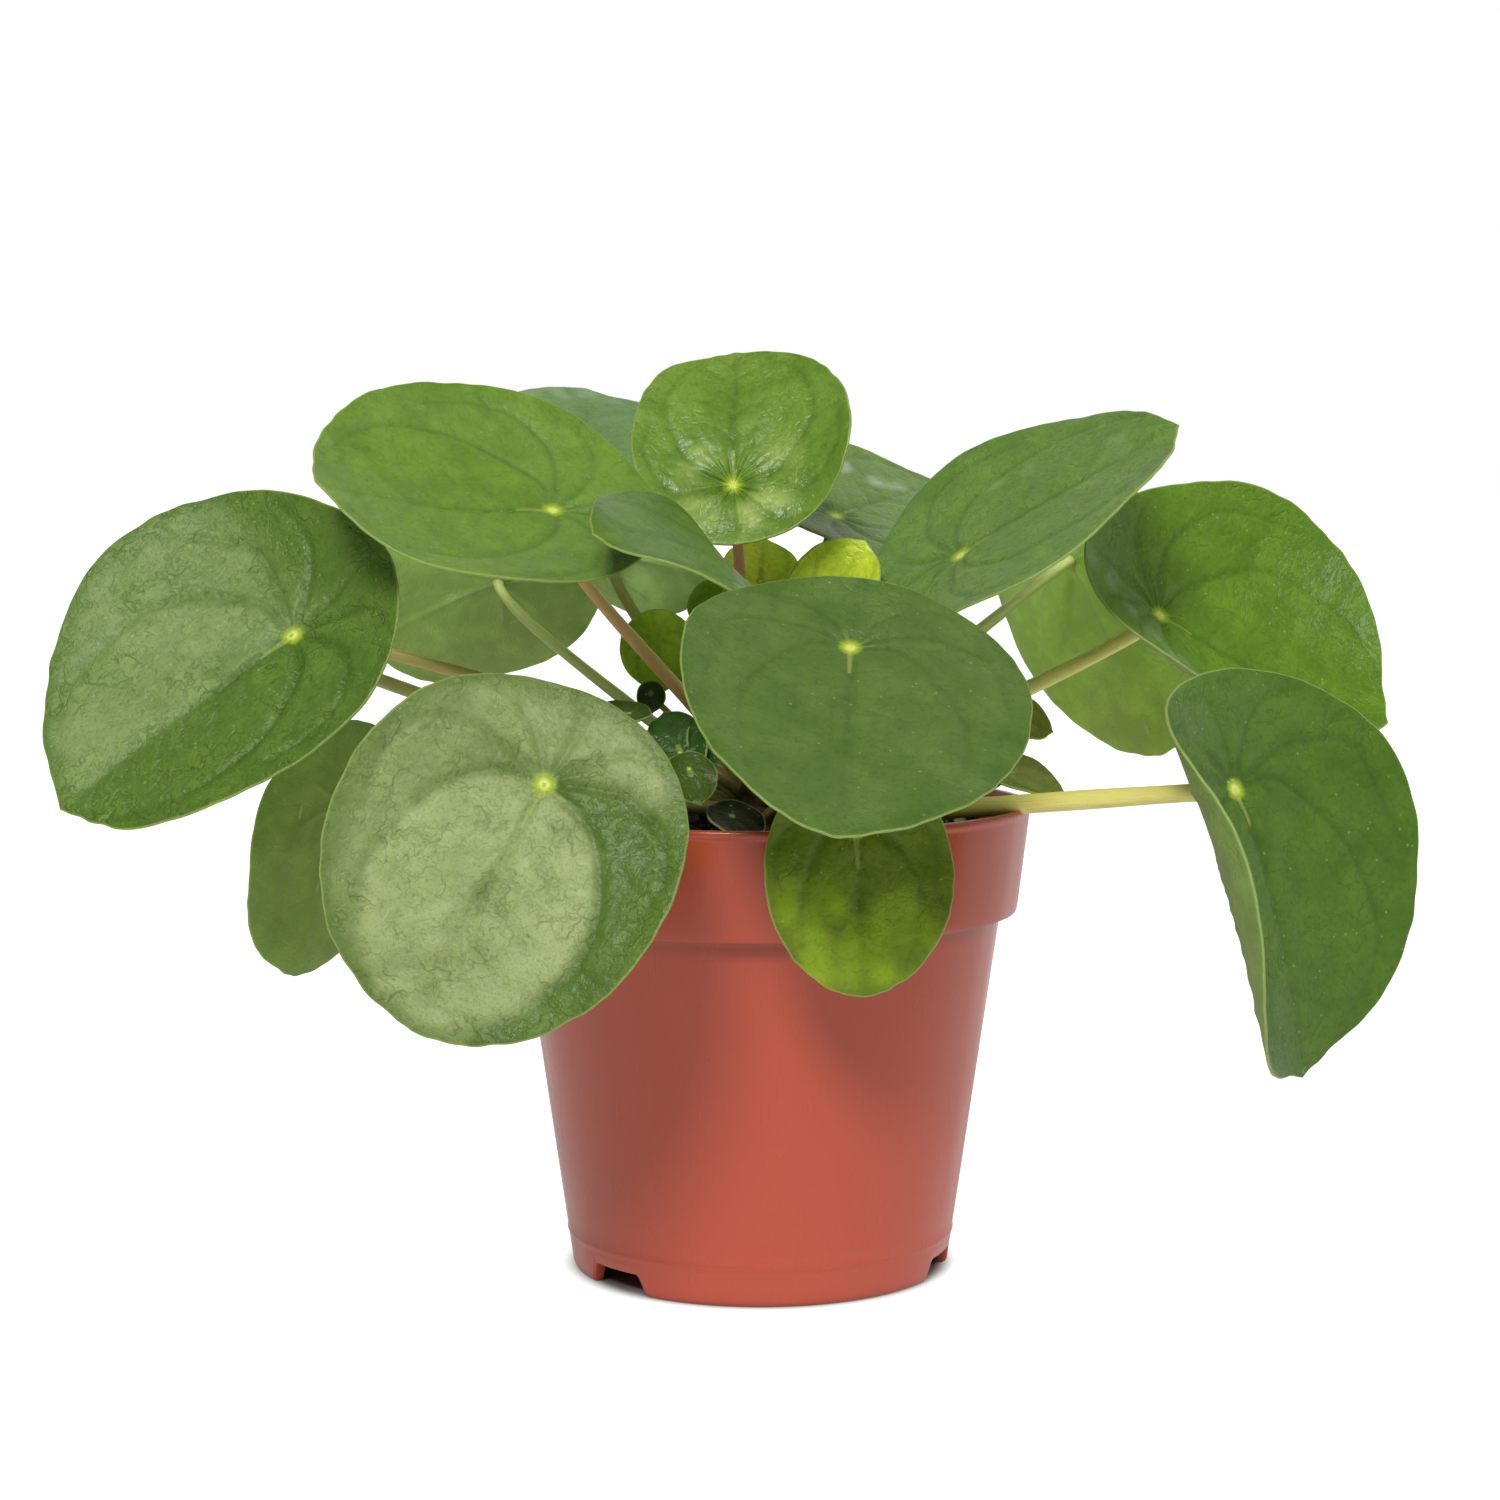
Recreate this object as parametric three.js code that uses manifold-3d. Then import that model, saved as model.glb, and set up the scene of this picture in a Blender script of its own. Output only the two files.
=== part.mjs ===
// A potted Chinese money plant: round peltate leaves on long stalks in a plastic nursery pot.
// Millimetres, +Z up. The origin is the centre of the pot's base, and -Y is the front.
import * as THREE from 'three';
import { mergeVertices } from 'three/addons/utils/BufferGeometryUtils.js';
import Module from 'manifold-3d';

const wasm = await Module();
wasm.setup();

// Driving dimensions of the pot
const RIM_RADIUS = 60;
const POT_HEIGHT = 103;
const LIP_HEIGHT = 1.6;
const LIP_STEP = 0.4;
const WALL = 1.3;
const COLLAR_FOOT_RADIUS = 56.6;
const COLLAR_FOOT_Z = 79.4;
const SHOULDER_RADIUS = 53;
const BASE_RADIUS = 41.7;
const BASE_EDGE = 1.2;
const FLOOR_UNDERSIDE_Z = 5;
const FLOOR_TOP_Z = 6.5;
const FOOT_WIDTH = 2.4;
const FOOT_DRAFT = 0.8;
const PAD_RADIUS = 12;
const POT_SEGMENTS = 48;
const NOTCH_TURNS = [-48, 72, 192];
const NOTCH_WIDTH = 18;
const NOTCH_TOP_WIDTH = 14;
const NOTCH_HEIGHT = 4.8;
const NOTCH_DEPTH = 12;
const DRAIN_COUNT = 8;
const DRAIN_RADIUS = 3.5;
const DRAIN_CIRCLE = 27;
const DRAIN_SIDES = 10;

// Driving dimensions of the soil and the main stem
const CLEARANCE = 0.3;
const SOIL_TOP_Z = 95.5;
const SOIL_CROWN = 1;
const SOIL_CROWN_RADIUS = 36;
const STEM_FOOT_Z = 86;
const STEM_TOP_Z = 112;
const STEM_RADIUS = 5.6;
const STEM_TOP_RADIUS = 4.4;
const STEM_BUD_RADIUS = 2.6;
const STEM_SIDES = 16;

// Shared sizes of the leaves
const BLADE_THICKNESS = 0.8;
const YOUNG_THICKNESS = 0.7;
const HUB_DIMPLE = 1;
const APEX_POINT = 2.5;
const MARGIN_WAVE = 0.7;
const BLADE_SECTORS = 24;
const BLADE_RINGS = 3;
const YOUNG_SECTORS = 14;
const YOUNG_RINGS = 2;
const YOUNG_SINK = 0.3;
const STALK_SIDES = 6;
const STALK_STEPS = 8;
const STALK_ROOT_RADIUS = 1.5;
const STALK_TIP_REACH = 14;
const PLANTLET_DEPTH = 6;
const PLANTLET_STALK = [0.9, 0.7];
const PLANTLET_STALK_STEPS = 5;
const PLANTLET_STEM_SIDES = 8;
const PLANTLET_BOW = 2;

// Each grown leaf. hub is where the stalk meets the blade. turn is the way that the top face
// looks, 0 to the front and 90 to the right, and rise is how far it looks up. roll swings the
// apex round the hub, from 0 for straight down the slope. heel is the part of the length that
// lies behind the hub. fold bends the two halves up, left and right of the midrib, and arch
// bends the apex and the heel up, all in degrees at the margin. egg moves the greatest width
// towards the heel, and lop makes one half wider than the other. The stalk leaves the main stem
// at the angle and height of stalk.from, with the radii of stalk.thick at its foot and tip, and
// stalk.bow lifts its middle.
const LEAVES = [
  {
    name: 'far_left', hub: [-98, -35, 142], turn: -20, rise: 38, roll: -41,
    length: 84, width: 79, heel: 0.32, fold: [14, 14], arch: [-2, 32], egg: 0.08, lop: -0.18,
    stalk: { from: [-79, 98.5], thick: [1.8, 1.4], bow: 4 },
  },
  {
    name: 'upper_left', hub: [-44, -20, 168], turn: 16, rise: 56, roll: -82,
    length: 76, width: 72, heel: 0.3, fold: [18, 14], arch: [24, 10], egg: 0.06, lop: -0.12,
    stalk: { from: [-60, 107], thick: [2, 1.5], bow: 2 },
  },
  {
    name: 'centre_edge', hub: [-4, -29, 153], turn: 92, rise: 45, roll: -142,
    length: 60, width: 47, heel: 0.35, fold: [6, 2], arch: [-42, 0], egg: 0.1, lop: -0.05,
    stalk: { from: [-12, 106], thick: [1.6, 1.2], bow: 2 },
  },
  {
    name: 'top', hub: [-6, 0, 173], turn: -2, rise: 30, roll: 181,
    length: 54, width: 50, heel: 0.29, fold: [32, 18], arch: [-20, 0], egg: 0.03, lop: -0.1,
    stalk: { from: [-130, 110.5], thick: [1.4, 1.1], bow: 0 },
  },
  {
    name: 'back_upper_left', hub: [-44, 80, 175], turn: 10, rise: 54, roll: 172,
    length: 63, width: 59, heel: 0.34, fold: [12, 18], arch: [-10, 0], egg: 0.04, lop: 0,
    stalk: { from: [-160, 104.5], thick: [1.7, 1.3], bow: 2 },
  },
  {
    name: 'back_upper_right', hub: [18, 45, 166], turn: 36, rise: 62, roll: 108,
    length: 60, width: 56, heel: 0.32, fold: [12, 12], arch: [4, 6], egg: 0.04, lop: 0,
    stalk: { from: [152, 106.5], thick: [1.6, 1.2], bow: 2 },
  },
  {
    name: 'upper_right', hub: [43, -5, 158], turn: -56, rise: 51, roll: 146,
    length: 75, width: 70, heel: 0.3, fold: [8, 12], arch: [-2, -10], egg: 0.14, lop: 0.03,
    stalk: { from: [48, 105], thick: [1.8, 1.3], bow: 2 },
  },
  {
    name: 'far_right', hub: [90, 12, 144], turn: 40, rise: 36, roll: 43,
    length: 80, width: 74, heel: 0.32, fold: [57, 42], arch: [28, 20], egg: -0.03, lop: 0.18,
    stalk: { from: [114, 99.5], thick: [1.8, 1.5], bow: 1 },
  },
  {
    name: 'lower_right', hub: [99, -42, 110], turn: 37, rise: 18, roll: 12,
    length: 86, width: 80, heel: 0.29, fold: [78, 26], arch: [-20, 2], egg: 0.1, lop: 0.02,
    stalk: { from: [58, 98.5], thick: [2.6, 2.2], bow: 6 },
  },
  {
    name: 'front_centre', hub: [18, -63, 141], turn: 6, rise: 52, roll: -8,
    length: 74, width: 70, heel: 0.26, fold: [22, -10], arch: [2, 6], egg: 0.18, lop: 0.04,
    stalk: { from: [12, 102.5], thick: [2, 1.4], bow: 2 },
  },
  {
    name: 'front_left', hub: [-42, -80, 115], turn: 2, rise: 23, roll: -28,
    length: 75, width: 70, heel: 0.28, fold: [24, 21], arch: [-12, -12], egg: 0.03, lop: 0,
    stalk: { from: [-42, 99], thick: [1.9, 1.4], bow: 3 },
  },
  {
    name: 'front_low', hub: [19, -70, 105], turn: 6, rise: 8, roll: 2,
    length: 46, width: 38, heel: 0.28, fold: [8, 8], arch: [0, 0], egg: 0.04, lop: 0,
    stalk: { from: [22, 98], thick: [1.3, 1], bow: 11 },
  },
  {
    name: 'lower_left', hub: [-97, 30, 98], turn: 238, rise: 9, roll: 10,
    length: 61, width: 57, heel: 0.34, fold: [5, 5], arch: [10, 0], egg: 0.08, lop: -0.04,
    stalk: { from: [-112, 99], thick: [1.7, 1.3], bow: 22 },
  },
  {
    name: 'back_left', hub: [-62, 50, 150], turn: 190, rise: 30, roll: 64,
    length: 58, width: 54, heel: 0.42, fold: [18, 8], arch: [-10, -4], egg: 0.06, lop: -0.08,
    stalk: { from: [-139, 102], thick: [1.6, 1.3], bow: 0 },
  },
  {
    name: 'back_right', hub: [75, 60, 155], turn: 134, rise: 22, roll: -15,
    length: 74, width: 69, heel: 0.3, fold: [12, 12], arch: [-4, 0], egg: 0.04, lop: 0,
    stalk: { from: [125, 102.5], thick: [1.8, 1.4], bow: 0 },
  },
  {
    name: 'back_centre', hub: [-33, 36, 157], turn: 160, rise: 25, roll: -75,
    length: 30, width: 28, heel: 0.24, fold: [10, 4], arch: [-6, 6], egg: 0.05, lop: 0.02,
    stalk: { from: [-137, 106.5], thick: [1.2, 1], bow: 0 },
  },
  {
    name: 'back_far_left', hub: [-114, 22, 146], turn: -80, rise: 45, roll: -20,
    length: 58, width: 54, heel: 0.34, fold: [12, 12], arch: [-6, 0], egg: 0.04, lop: 0,
    stalk: { from: [-88, 104], thick: [1.7, 1.3], bow: 12 },
  },
  {
    name: 'rear_left', hub: [-52, 80, 100], turn: 212, rise: 14, roll: 4,
    length: 58, width: 55, heel: 0.34, fold: [12, 10], arch: [-6, 0], egg: 0.05, lop: 0.03,
    stalk: { from: [-146, 98.5], thick: [1.7, 1.3], bow: 22 },
  },
  {
    name: 'rear_centre', hub: [-5, 94, 90], turn: 178, rise: 12, roll: -6,
    length: 52, width: 49, heel: 0.34, fold: [10, 12], arch: [-6, 0], egg: 0.05, lop: -0.03,
    stalk: { from: [182, 98.5], thick: [1.5, 1.2], bow: 42 },
  },
  {
    name: 'rear_right', hub: [30, 86, 112], turn: 158, rise: 22, roll: 8,
    length: 60, width: 56, heel: 0.34, fold: [12, 12], arch: [-6, 0], egg: 0.04, lop: 0,
    stalk: { from: [143, 98.5], thick: [1.7, 1.3], bow: 14 },
  },
];

// Young leaves near the growing tip, each one piece with its stalk.
const YOUNG = [
  {
    name: 'young_round', color: '#4c611c', hub: [-23, 6, 138], turn: 0, rise: 15, roll: 10,
    length: 18, width: 17, heel: 0.4, fold: [8, 8], arch: [0, 0], egg: 0, lop: 0,
    stalk: { from: [-95, 108], thick: [0.9, 0.7], bow: 2 },
  },
  {
    name: 'young_bright', color: '#8fae2c', hub: [-9, -10, 148], turn: -10, rise: 40, roll: 10,
    length: 15, width: 14, heel: 0.4, fold: [10, 10], arch: [0, 0], egg: 0, lop: 0,
    stalk: { from: [-38, 108], thick: [0.9, 0.7], bow: 0 },
  },
  {
    name: 'young_olive', color: '#6f8226', hub: [0, 12, 151], turn: 10, rise: 35, roll: 170,
    length: 19, width: 18, heel: 0.4, fold: [10, 10], arch: [0, 0], egg: 0, lop: 0,
    stalk: { from: [175, 106.5], thick: [0.9, 0.7], bow: 0 },
  },
  {
    name: 'young_folded', color: '#9aab2a', hub: [15, 5, 146], turn: -15, rise: 10, roll: 152,
    length: 26, width: 22, heel: 0.4, fold: [50, 50], arch: [0, 0], egg: 0, lop: 0,
    stalk: { from: [95, 107], thick: [0.9, 0.7], bow: 0 },
  },
  {
    name: 'young_tiny', color: '#3f5a1e', hub: [-24, -2, 127], turn: 0, rise: 15, roll: 0,
    length: 7, width: 6.5, heel: 0.4, fold: [5, 5], arch: [0, 0], egg: 0, lop: 0,
    stalk: { from: [-112, 105.5], thick: [0.8, 0.7], bow: 0 },
  },
  {
    name: 'young_low', color: '#8a9a2e', hub: [-6, -30, 103], turn: 20, rise: 60, roll: 20,
    length: 14, width: 12, heel: 0.4, fold: [14, 14], arch: [0, 0], egg: 0, lop: 0,
    stalk: { from: [-6, 97.5], thick: [0.9, 0.7], bow: 0 },
  },
];

// Offset plantlets beside the main stem, each a few small leaves grown from one rooted stalk.
const PLANTLETS = [
  {
    name: 'plantlet_front_left', root: [-21, -19], stem: [1.8, 16],
    leaves: [
      { hub: [-28, -21, 124], turn: 0, rise: 72, roll: -90, length: 14, width: 12 },
      { hub: [-17, -26, 116], turn: -10, rise: 35, roll: 205, length: 17, width: 13 },
      { hub: [-11, -24, 117], turn: 15, rise: 30, roll: 170, length: 12, width: 10 },
      { hub: [-15, -31, 113], turn: 10, rise: 40, roll: 10, length: 13, width: 11 },
    ],
  },
  {
    name: 'plantlet_right', root: [45, 14], stem: [1.6, 9],
    leaves: [
      { hub: [59, 25, 120], turn: 25, rise: 35, roll: 60, length: 13, width: 11 },
      { hub: [54, -2, 110], turn: 30, rise: 62, roll: 50, length: 20, width: 16 },
    ],
  },
];

// What the small leaves share: a level margin, no dimple at the hub and a blunt apex.
const YOUNG_FORM = { wave: 0.2, dimple: 0, point: 0.8 };
const PLANTLET_FORM = { heel: 0.35, fold: [14, 14], arch: [-6, 0], egg: 0.05, lop: 0, ...YOUNG_FORM };

const rad = THREE.MathUtils.degToRad;

// A unit vector at an angle from the front, positive to the right.
function heading(degrees) {
  return new THREE.Vector3(Math.sin(rad(degrees)), -Math.cos(rad(degrees)), 0);
}

// The blade's own axes: along the midrib to the apex, across it, and out of the top face.
function bladeAxes(leaf) {
  const turn = rad(leaf.turn);
  const rise = rad(leaf.rise);
  const roll = rad(leaf.roll);
  const front = heading(leaf.turn);
  const out = front.clone().multiplyScalar(Math.cos(rise));
  out.z = Math.sin(rise);
  const slope = front.clone().multiplyScalar(Math.sin(rise));
  slope.z = -Math.cos(rise);
  const level = new THREE.Vector3(Math.cos(turn), Math.sin(turn), 0);
  const along = slope.multiplyScalar(Math.cos(roll)).addScaledVector(level, Math.sin(roll));
  const across = out.clone().cross(along);
  return { along, across, out };
}

// Bends a length by a curvature: how far along the chord it reaches, and how far it rises.
function curl(length, curvature) {
  if (Math.abs(curvature) < 1e-6) return [length, 0];
  return [Math.sin(curvature * length) / curvature, (1 - Math.cos(curvature * length)) / curvature];
}

// A point of the top face, at angle t round the outline and share s of the way out to it.
function bladePoint(leaf, axes, t, s) {
  const { length, width, heel, fold, arch, egg, lop } = leaf;
  const side = Math.sign(Math.sin(t));
  const point = (leaf.point ?? APEX_POINT) * (1 - Math.abs(Math.sin(t / 2))) ** 14;
  const flatAlong = s * (length * (0.5 - heel) + 0.5 * length * Math.cos(t) + point);
  const halfWidth = 0.5 * width * (1 - egg * Math.cos(t)) * (1 + lop * side);
  const flatAcross = s * halfWidth * Math.sin(t);
  const foldCurve = rad(flatAcross >= 0 ? fold[1] : fold[0]) / (0.5 * width);
  const [across, lift] = curl(flatAcross, foldCurve);
  const ahead = flatAlong >= 0;
  const archCurve = rad(ahead ? arch[0] : arch[1]) / (length * (ahead ? 1 - heel : heel));
  const [reach, rise] = curl(flatAlong, archCurve);
  const lean = archCurve * flatAlong;
  const wave = (leaf.wave ?? MARGIN_WAVE) * s ** 3 * Math.sin(5 * t + length);
  const dimple = s === 0 ? -(leaf.dimple ?? HUB_DIMPLE) : 0;
  const height = lift + wave + dimple;
  return new THREE.Vector3(...leaf.hub)
    .addScaledVector(axes.along, reach - height * Math.sin(lean))
    .addScaledVector(axes.across, across)
    .addScaledVector(axes.out, rise + height * Math.cos(lean));
}

// Joins points and triangles into one indexed geometry.
function indexed(points, triangles) {
  const geometry = new THREE.BufferGeometry();
  const positions = points.flatMap((p) => [p.x, p.y, p.z]);
  geometry.setAttribute('position', new THREE.Float32BufferAttribute(positions, 3));
  geometry.setIndex(triangles.flat());
  geometry.computeVertexNormals();
  return geometry;
}

// A leaf blade: a fan round the hub and rings out to the margin, with the same split below.
function bladeGeometry(leaf, sectors, rings, thickness) {
  const axes = bladeAxes(leaf);
  const top = [bladePoint(leaf, axes, 0, 0)];
  for (let ring = 1; ring <= rings; ring += 1) {
    for (let i = 0; i < sectors; i += 1) {
      top.push(bladePoint(leaf, axes, (2 * Math.PI * i) / sectors, ring / rings));
    }
  }
  const at = (ring, i) => 1 + (ring - 1) * sectors + (i % sectors);
  const face = [];
  for (let i = 0; i < sectors; i += 1) {
    face.push([0, at(1, i), at(1, i + 1)]);
    for (let ring = 1; ring < rings; ring += 1) {
      face.push([at(ring, i), at(ring + 1, i), at(ring + 1, i + 1)]);
      face.push([at(ring, i), at(ring + 1, i + 1), at(ring, i + 1)]);
    }
  }
  const normals = indexed(top, face).getAttribute('normal');
  const below = top.map((p, i) => {
    const normal = new THREE.Vector3().fromBufferAttribute(normals, i);
    return p.clone().addScaledVector(normal, -thickness);
  });
  const n = top.length;
  const underside = face.map(([a, b, c]) => [a + n, c + n, b + n]);
  const edge = [];
  for (let i = 0; i < sectors; i += 1) {
    const a = at(rings, i);
    const b = at(rings, i + 1);
    edge.push([a, a + n, b + n], [a, b + n, b]);
  }
  return indexed([...top, ...below], [...face, ...underside, ...edge]);
}

// A closed tapering tube along a curve.
function tubeGeometry(curve, steps, sides, footRadius, tipRadius) {
  const { normals, binormals } = curve.computeFrenetFrames(steps, false);
  const points = [];
  for (let step = 0; step <= steps; step += 1) {
    const centre = curve.getPointAt(step / steps);
    const radius = THREE.MathUtils.lerp(footRadius, tipRadius, step / steps);
    for (let i = 0; i < sides; i += 1) {
      const angle = (2 * Math.PI * i) / sides;
      points.push(centre.clone()
        .addScaledVector(normals[step], radius * Math.cos(angle))
        .addScaledVector(binormals[step], radius * Math.sin(angle)));
    }
  }
  const at = (step, i) => step * sides + (i % sides);
  const triangles = [];
  for (let i = 0; i < sides; i += 1) {
    for (let step = 0; step < steps; step += 1) {
      triangles.push([at(step, i), at(step, i + 1), at(step + 1, i + 1)]);
      triangles.push([at(step, i), at(step + 1, i + 1), at(step + 1, i)]);
    }
  }
  for (let i = 1; i < sides - 1; i += 1) {
    triangles.push([at(0, 0), at(0, i + 1), at(0, i)]);
    triangles.push([at(steps, 0), at(steps, i), at(steps, i + 1)]);
  }
  return indexed(points, triangles);
}

// The stalk's line, from inside the main stem to the underside of the hub.
function stalkCurve(foot, leaf, gap, bow) {
  const { out } = bladeAxes(leaf);
  const dimple = leaf.dimple ?? HUB_DIMPLE;
  const tip = new THREE.Vector3(...leaf.hub).addScaledVector(out, -(dimple + gap));
  const reach = Math.min(STALK_TIP_REACH, 0.3 * foot.distanceTo(tip));
  const first = foot.clone().lerp(tip, 0.35);
  first.z += bow;
  const second = tip.clone().addScaledVector(out, -reach);
  return new THREE.CubicBezierCurve3(foot, first, second, tip);
}

// A closed geometry as a solid for joining and cutting, and a solid back as a geometry.
function solid(geometry) {
  const bare = geometry.clone();
  bare.deleteAttribute('normal');
  bare.deleteAttribute('uv');
  const merged = mergeVertices(bare, 1e-4);
  return new wasm.Manifold(new wasm.Mesh({
    numProp: 3,
    vertProperties: Float32Array.from(merged.getAttribute('position').array),
    triVerts: Uint32Array.from(merged.index.array),
  }));
}

function geometryOf(manifold) {
  const mesh = manifold.getMesh();
  const geometry = new THREE.BufferGeometry();
  geometry.setAttribute('position', new THREE.Float32BufferAttribute(mesh.vertProperties, 3));
  geometry.setIndex([...mesh.triVerts]);
  geometry.computeVertexNormals();
  return geometry;
}

// Turns a radius and height outline round the vertical axis.
function turned(outline, segments) {
  const profile = outline.map(([radius, z]) => new THREE.Vector2(radius, z));
  const geometry = new THREE.LatheGeometry(profile, segments);
  geometry.rotateX(Math.PI / 2);
  return geometry;
}

// Pot: a tapered cup with a tall collar, a thin lip, three foot notches and drain holes.
function potGeometry() {
  const body = solid(turned([
    [0, 0],
    [PAD_RADIUS, 0],
    [PAD_RADIUS + FOOT_DRAFT, FLOOR_UNDERSIDE_Z],
    [BASE_RADIUS - FOOT_WIDTH + FOOT_DRAFT, FLOOR_UNDERSIDE_Z],
    [BASE_RADIUS - FOOT_WIDTH, 0],
    [BASE_RADIUS - BASE_EDGE, 0],
    [BASE_RADIUS, BASE_EDGE],
    [SHOULDER_RADIUS, COLLAR_FOOT_Z],
    [COLLAR_FOOT_RADIUS, COLLAR_FOOT_Z],
    [RIM_RADIUS - LIP_STEP, POT_HEIGHT - LIP_HEIGHT],
    [RIM_RADIUS, POT_HEIGHT - LIP_HEIGHT],
    [RIM_RADIUS, POT_HEIGHT],
    [RIM_RADIUS - LIP_STEP - WALL, POT_HEIGHT],
    [COLLAR_FOOT_RADIUS - WALL, COLLAR_FOOT_Z + WALL],
    [SHOULDER_RADIUS - WALL, COLLAR_FOOT_Z + WALL / 2],
    [BASE_RADIUS - WALL + FOOT_DRAFT, FLOOR_TOP_Z],
    [0, FLOOR_TOP_Z],
  ], POT_SEGMENTS));
  return geometryOf(body.subtract(notches()).subtract(drains()));
}

// The three gaps under the foot, wider at the bottom.
function notches() {
  const below = -1;
  const outline = new THREE.Shape([
    new THREE.Vector2(-NOTCH_WIDTH / 2, below),
    new THREE.Vector2(NOTCH_WIDTH / 2, below),
    new THREE.Vector2(NOTCH_TOP_WIDTH / 2, NOTCH_HEIGHT),
    new THREE.Vector2(-NOTCH_TOP_WIDTH / 2, NOTCH_HEIGHT),
  ]);
  const cuts = NOTCH_TURNS.map((turn) => {
    const cut = new THREE.ExtrudeGeometry(outline, { depth: NOTCH_DEPTH, bevelEnabled: false });
    cut.rotateX(Math.PI / 2);
    cut.translate(0, -(BASE_RADIUS - FOOT_WIDTH - NOTCH_DEPTH / 2), 0);
    cut.rotateZ(rad(turn));
    return solid(cut);
  });
  return cuts.reduce((all, cut) => all.add(cut));
}

// The round drain holes through the floor.
function drains() {
  const cuts = [];
  for (let i = 0; i < DRAIN_COUNT; i += 1) {
    const cut = new THREE.CylinderGeometry(DRAIN_RADIUS, DRAIN_RADIUS, FLOOR_TOP_Z, DRAIN_SIDES);
    cut.rotateX(Math.PI / 2);
    const place = heading((360 * (i + 0.5)) / DRAIN_COUNT).multiplyScalar(DRAIN_CIRCLE);
    cut.translate(place.x, place.y, (FLOOR_UNDERSIDE_Z + FLOOR_TOP_Z) / 2);
    cuts.push(solid(cut));
  }
  return cuts.reduce((all, cut) => all.add(cut));
}

// Main stem: a short woody trunk, wider at the foot, with a blunt growing tip.
function stemOutline(grow) {
  return [
    [0, STEM_FOOT_Z - grow],
    [STEM_RADIUS + grow, STEM_FOOT_Z - grow],
    [STEM_RADIUS + grow, SOIL_TOP_Z + 2],
    [STEM_TOP_RADIUS + grow, STEM_TOP_Z - 2],
    [STEM_BUD_RADIUS + grow, STEM_TOP_Z + grow],
    [0, STEM_TOP_Z + grow],
  ];
}

const stemSolid = solid(turned(stemOutline(0), STEM_SIDES));
const stemSocket = solid(turned(stemOutline(CLEARANCE), STEM_SIDES));

// A stalk that starts inside the main stem and is cut back to the stem's surface.
function stalkOnStem(leaf, gap) {
  const [turn, z] = leaf.stalk.from;
  const foot = heading(turn).multiplyScalar(STALK_ROOT_RADIUS);
  foot.z = z;
  const curve = stalkCurve(foot, leaf, gap, leaf.stalk.bow);
  const [footRadius, tipRadius] = leaf.stalk.thick;
  const tube = tubeGeometry(curve, STALK_STEPS, STALK_SIDES, footRadius, tipRadius);
  return solid(tube).subtract(stemSocket);
}

// Plantlet: a short rooted stem with its stalks and small blades grown from it.
function plantletSolid(plantlet) {
  const [x, y] = plantlet.root;
  const [radius, height] = plantlet.stem;
  const base = new THREE.Vector3(x, y, SOIL_TOP_Z - PLANTLET_DEPTH);
  const top = new THREE.Vector3(x, y, SOIL_TOP_Z + height);
  const line = new THREE.LineCurve3(base, top);
  let all = solid(tubeGeometry(line, 2, PLANTLET_STEM_SIDES, radius, 0.7 * radius));
  plantlet.leaves.forEach((leaf, i) => {
    const whole = { ...PLANTLET_FORM, ...leaf };
    const start = base.clone().lerp(top, 0.55 + (0.4 * i) / plantlet.leaves.length);
    const curve = stalkCurve(start, whole, YOUNG_SINK, PLANTLET_BOW);
    all = all.add(solid(tubeGeometry(curve, PLANTLET_STALK_STEPS, STALK_SIDES, ...PLANTLET_STALK)));
    all = all.add(solid(bladeGeometry(whole, YOUNG_SECTORS, YOUNG_RINGS, YOUNG_THICKNESS)));
  });
  return all;
}

const plantletSolids = PLANTLETS.map(plantletSolid);

// Soil: fills the pot to a little below the rim, with plain holes for what stands in it.
function soilGeometry() {
  const wallAt = (z) => THREE.MathUtils.mapLinear(
    z, COLLAR_FOOT_Z + WALL, POT_HEIGHT, COLLAR_FOOT_RADIUS - WALL, RIM_RADIUS - LIP_STEP - WALL,
  );
  const body = solid(turned([
    [0, FLOOR_TOP_Z + CLEARANCE],
    [BASE_RADIUS - WALL + FOOT_DRAFT - CLEARANCE, FLOOR_TOP_Z + CLEARANCE],
    [SHOULDER_RADIUS - WALL - CLEARANCE, COLLAR_FOOT_Z + WALL / 2],
    [COLLAR_FOOT_RADIUS - WALL - 2 * CLEARANCE, COLLAR_FOOT_Z + WALL + 2 * CLEARANCE],
    [wallAt(SOIL_TOP_Z - SOIL_CROWN) - CLEARANCE, SOIL_TOP_Z - SOIL_CROWN],
    [SOIL_CROWN_RADIUS, SOIL_TOP_Z],
    [0, SOIL_TOP_Z],
  ], POT_SEGMENTS));
  let cut = body.subtract(stemSocket);
  PLANTLETS.forEach(({ root: [x, y], stem: [radius] }) => {
    const wide = radius + CLEARANCE;
    const deep = PLANTLET_DEPTH + CLEARANCE;
    const hole = new THREE.CylinderGeometry(wide, wide, 2 * deep, PLANTLET_STEM_SIDES);
    hole.rotateX(Math.PI / 2);
    hole.translate(x, y, SOIL_TOP_Z);
    cut = cut.subtract(solid(hole));
  });
  return geometryOf(cut);
}

const material = (color, roughness) => new THREE.MeshStandardMaterial({ color, roughness, metalness: 0 });

const plant = new THREE.Group();

function addMesh(name, geometry, finish) {
  const mesh = new THREE.Mesh(geometry, finish);
  mesh.name = name;
  plant.add(mesh);
}

addMesh('pot', potGeometry(), material('#b0563f', 0.35));
addMesh('soil', soilGeometry(), material('#1d1612', 0.95));
addMesh('main_stem', geometryOf(stemSolid), material('#6b5138', 0.8));

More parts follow.
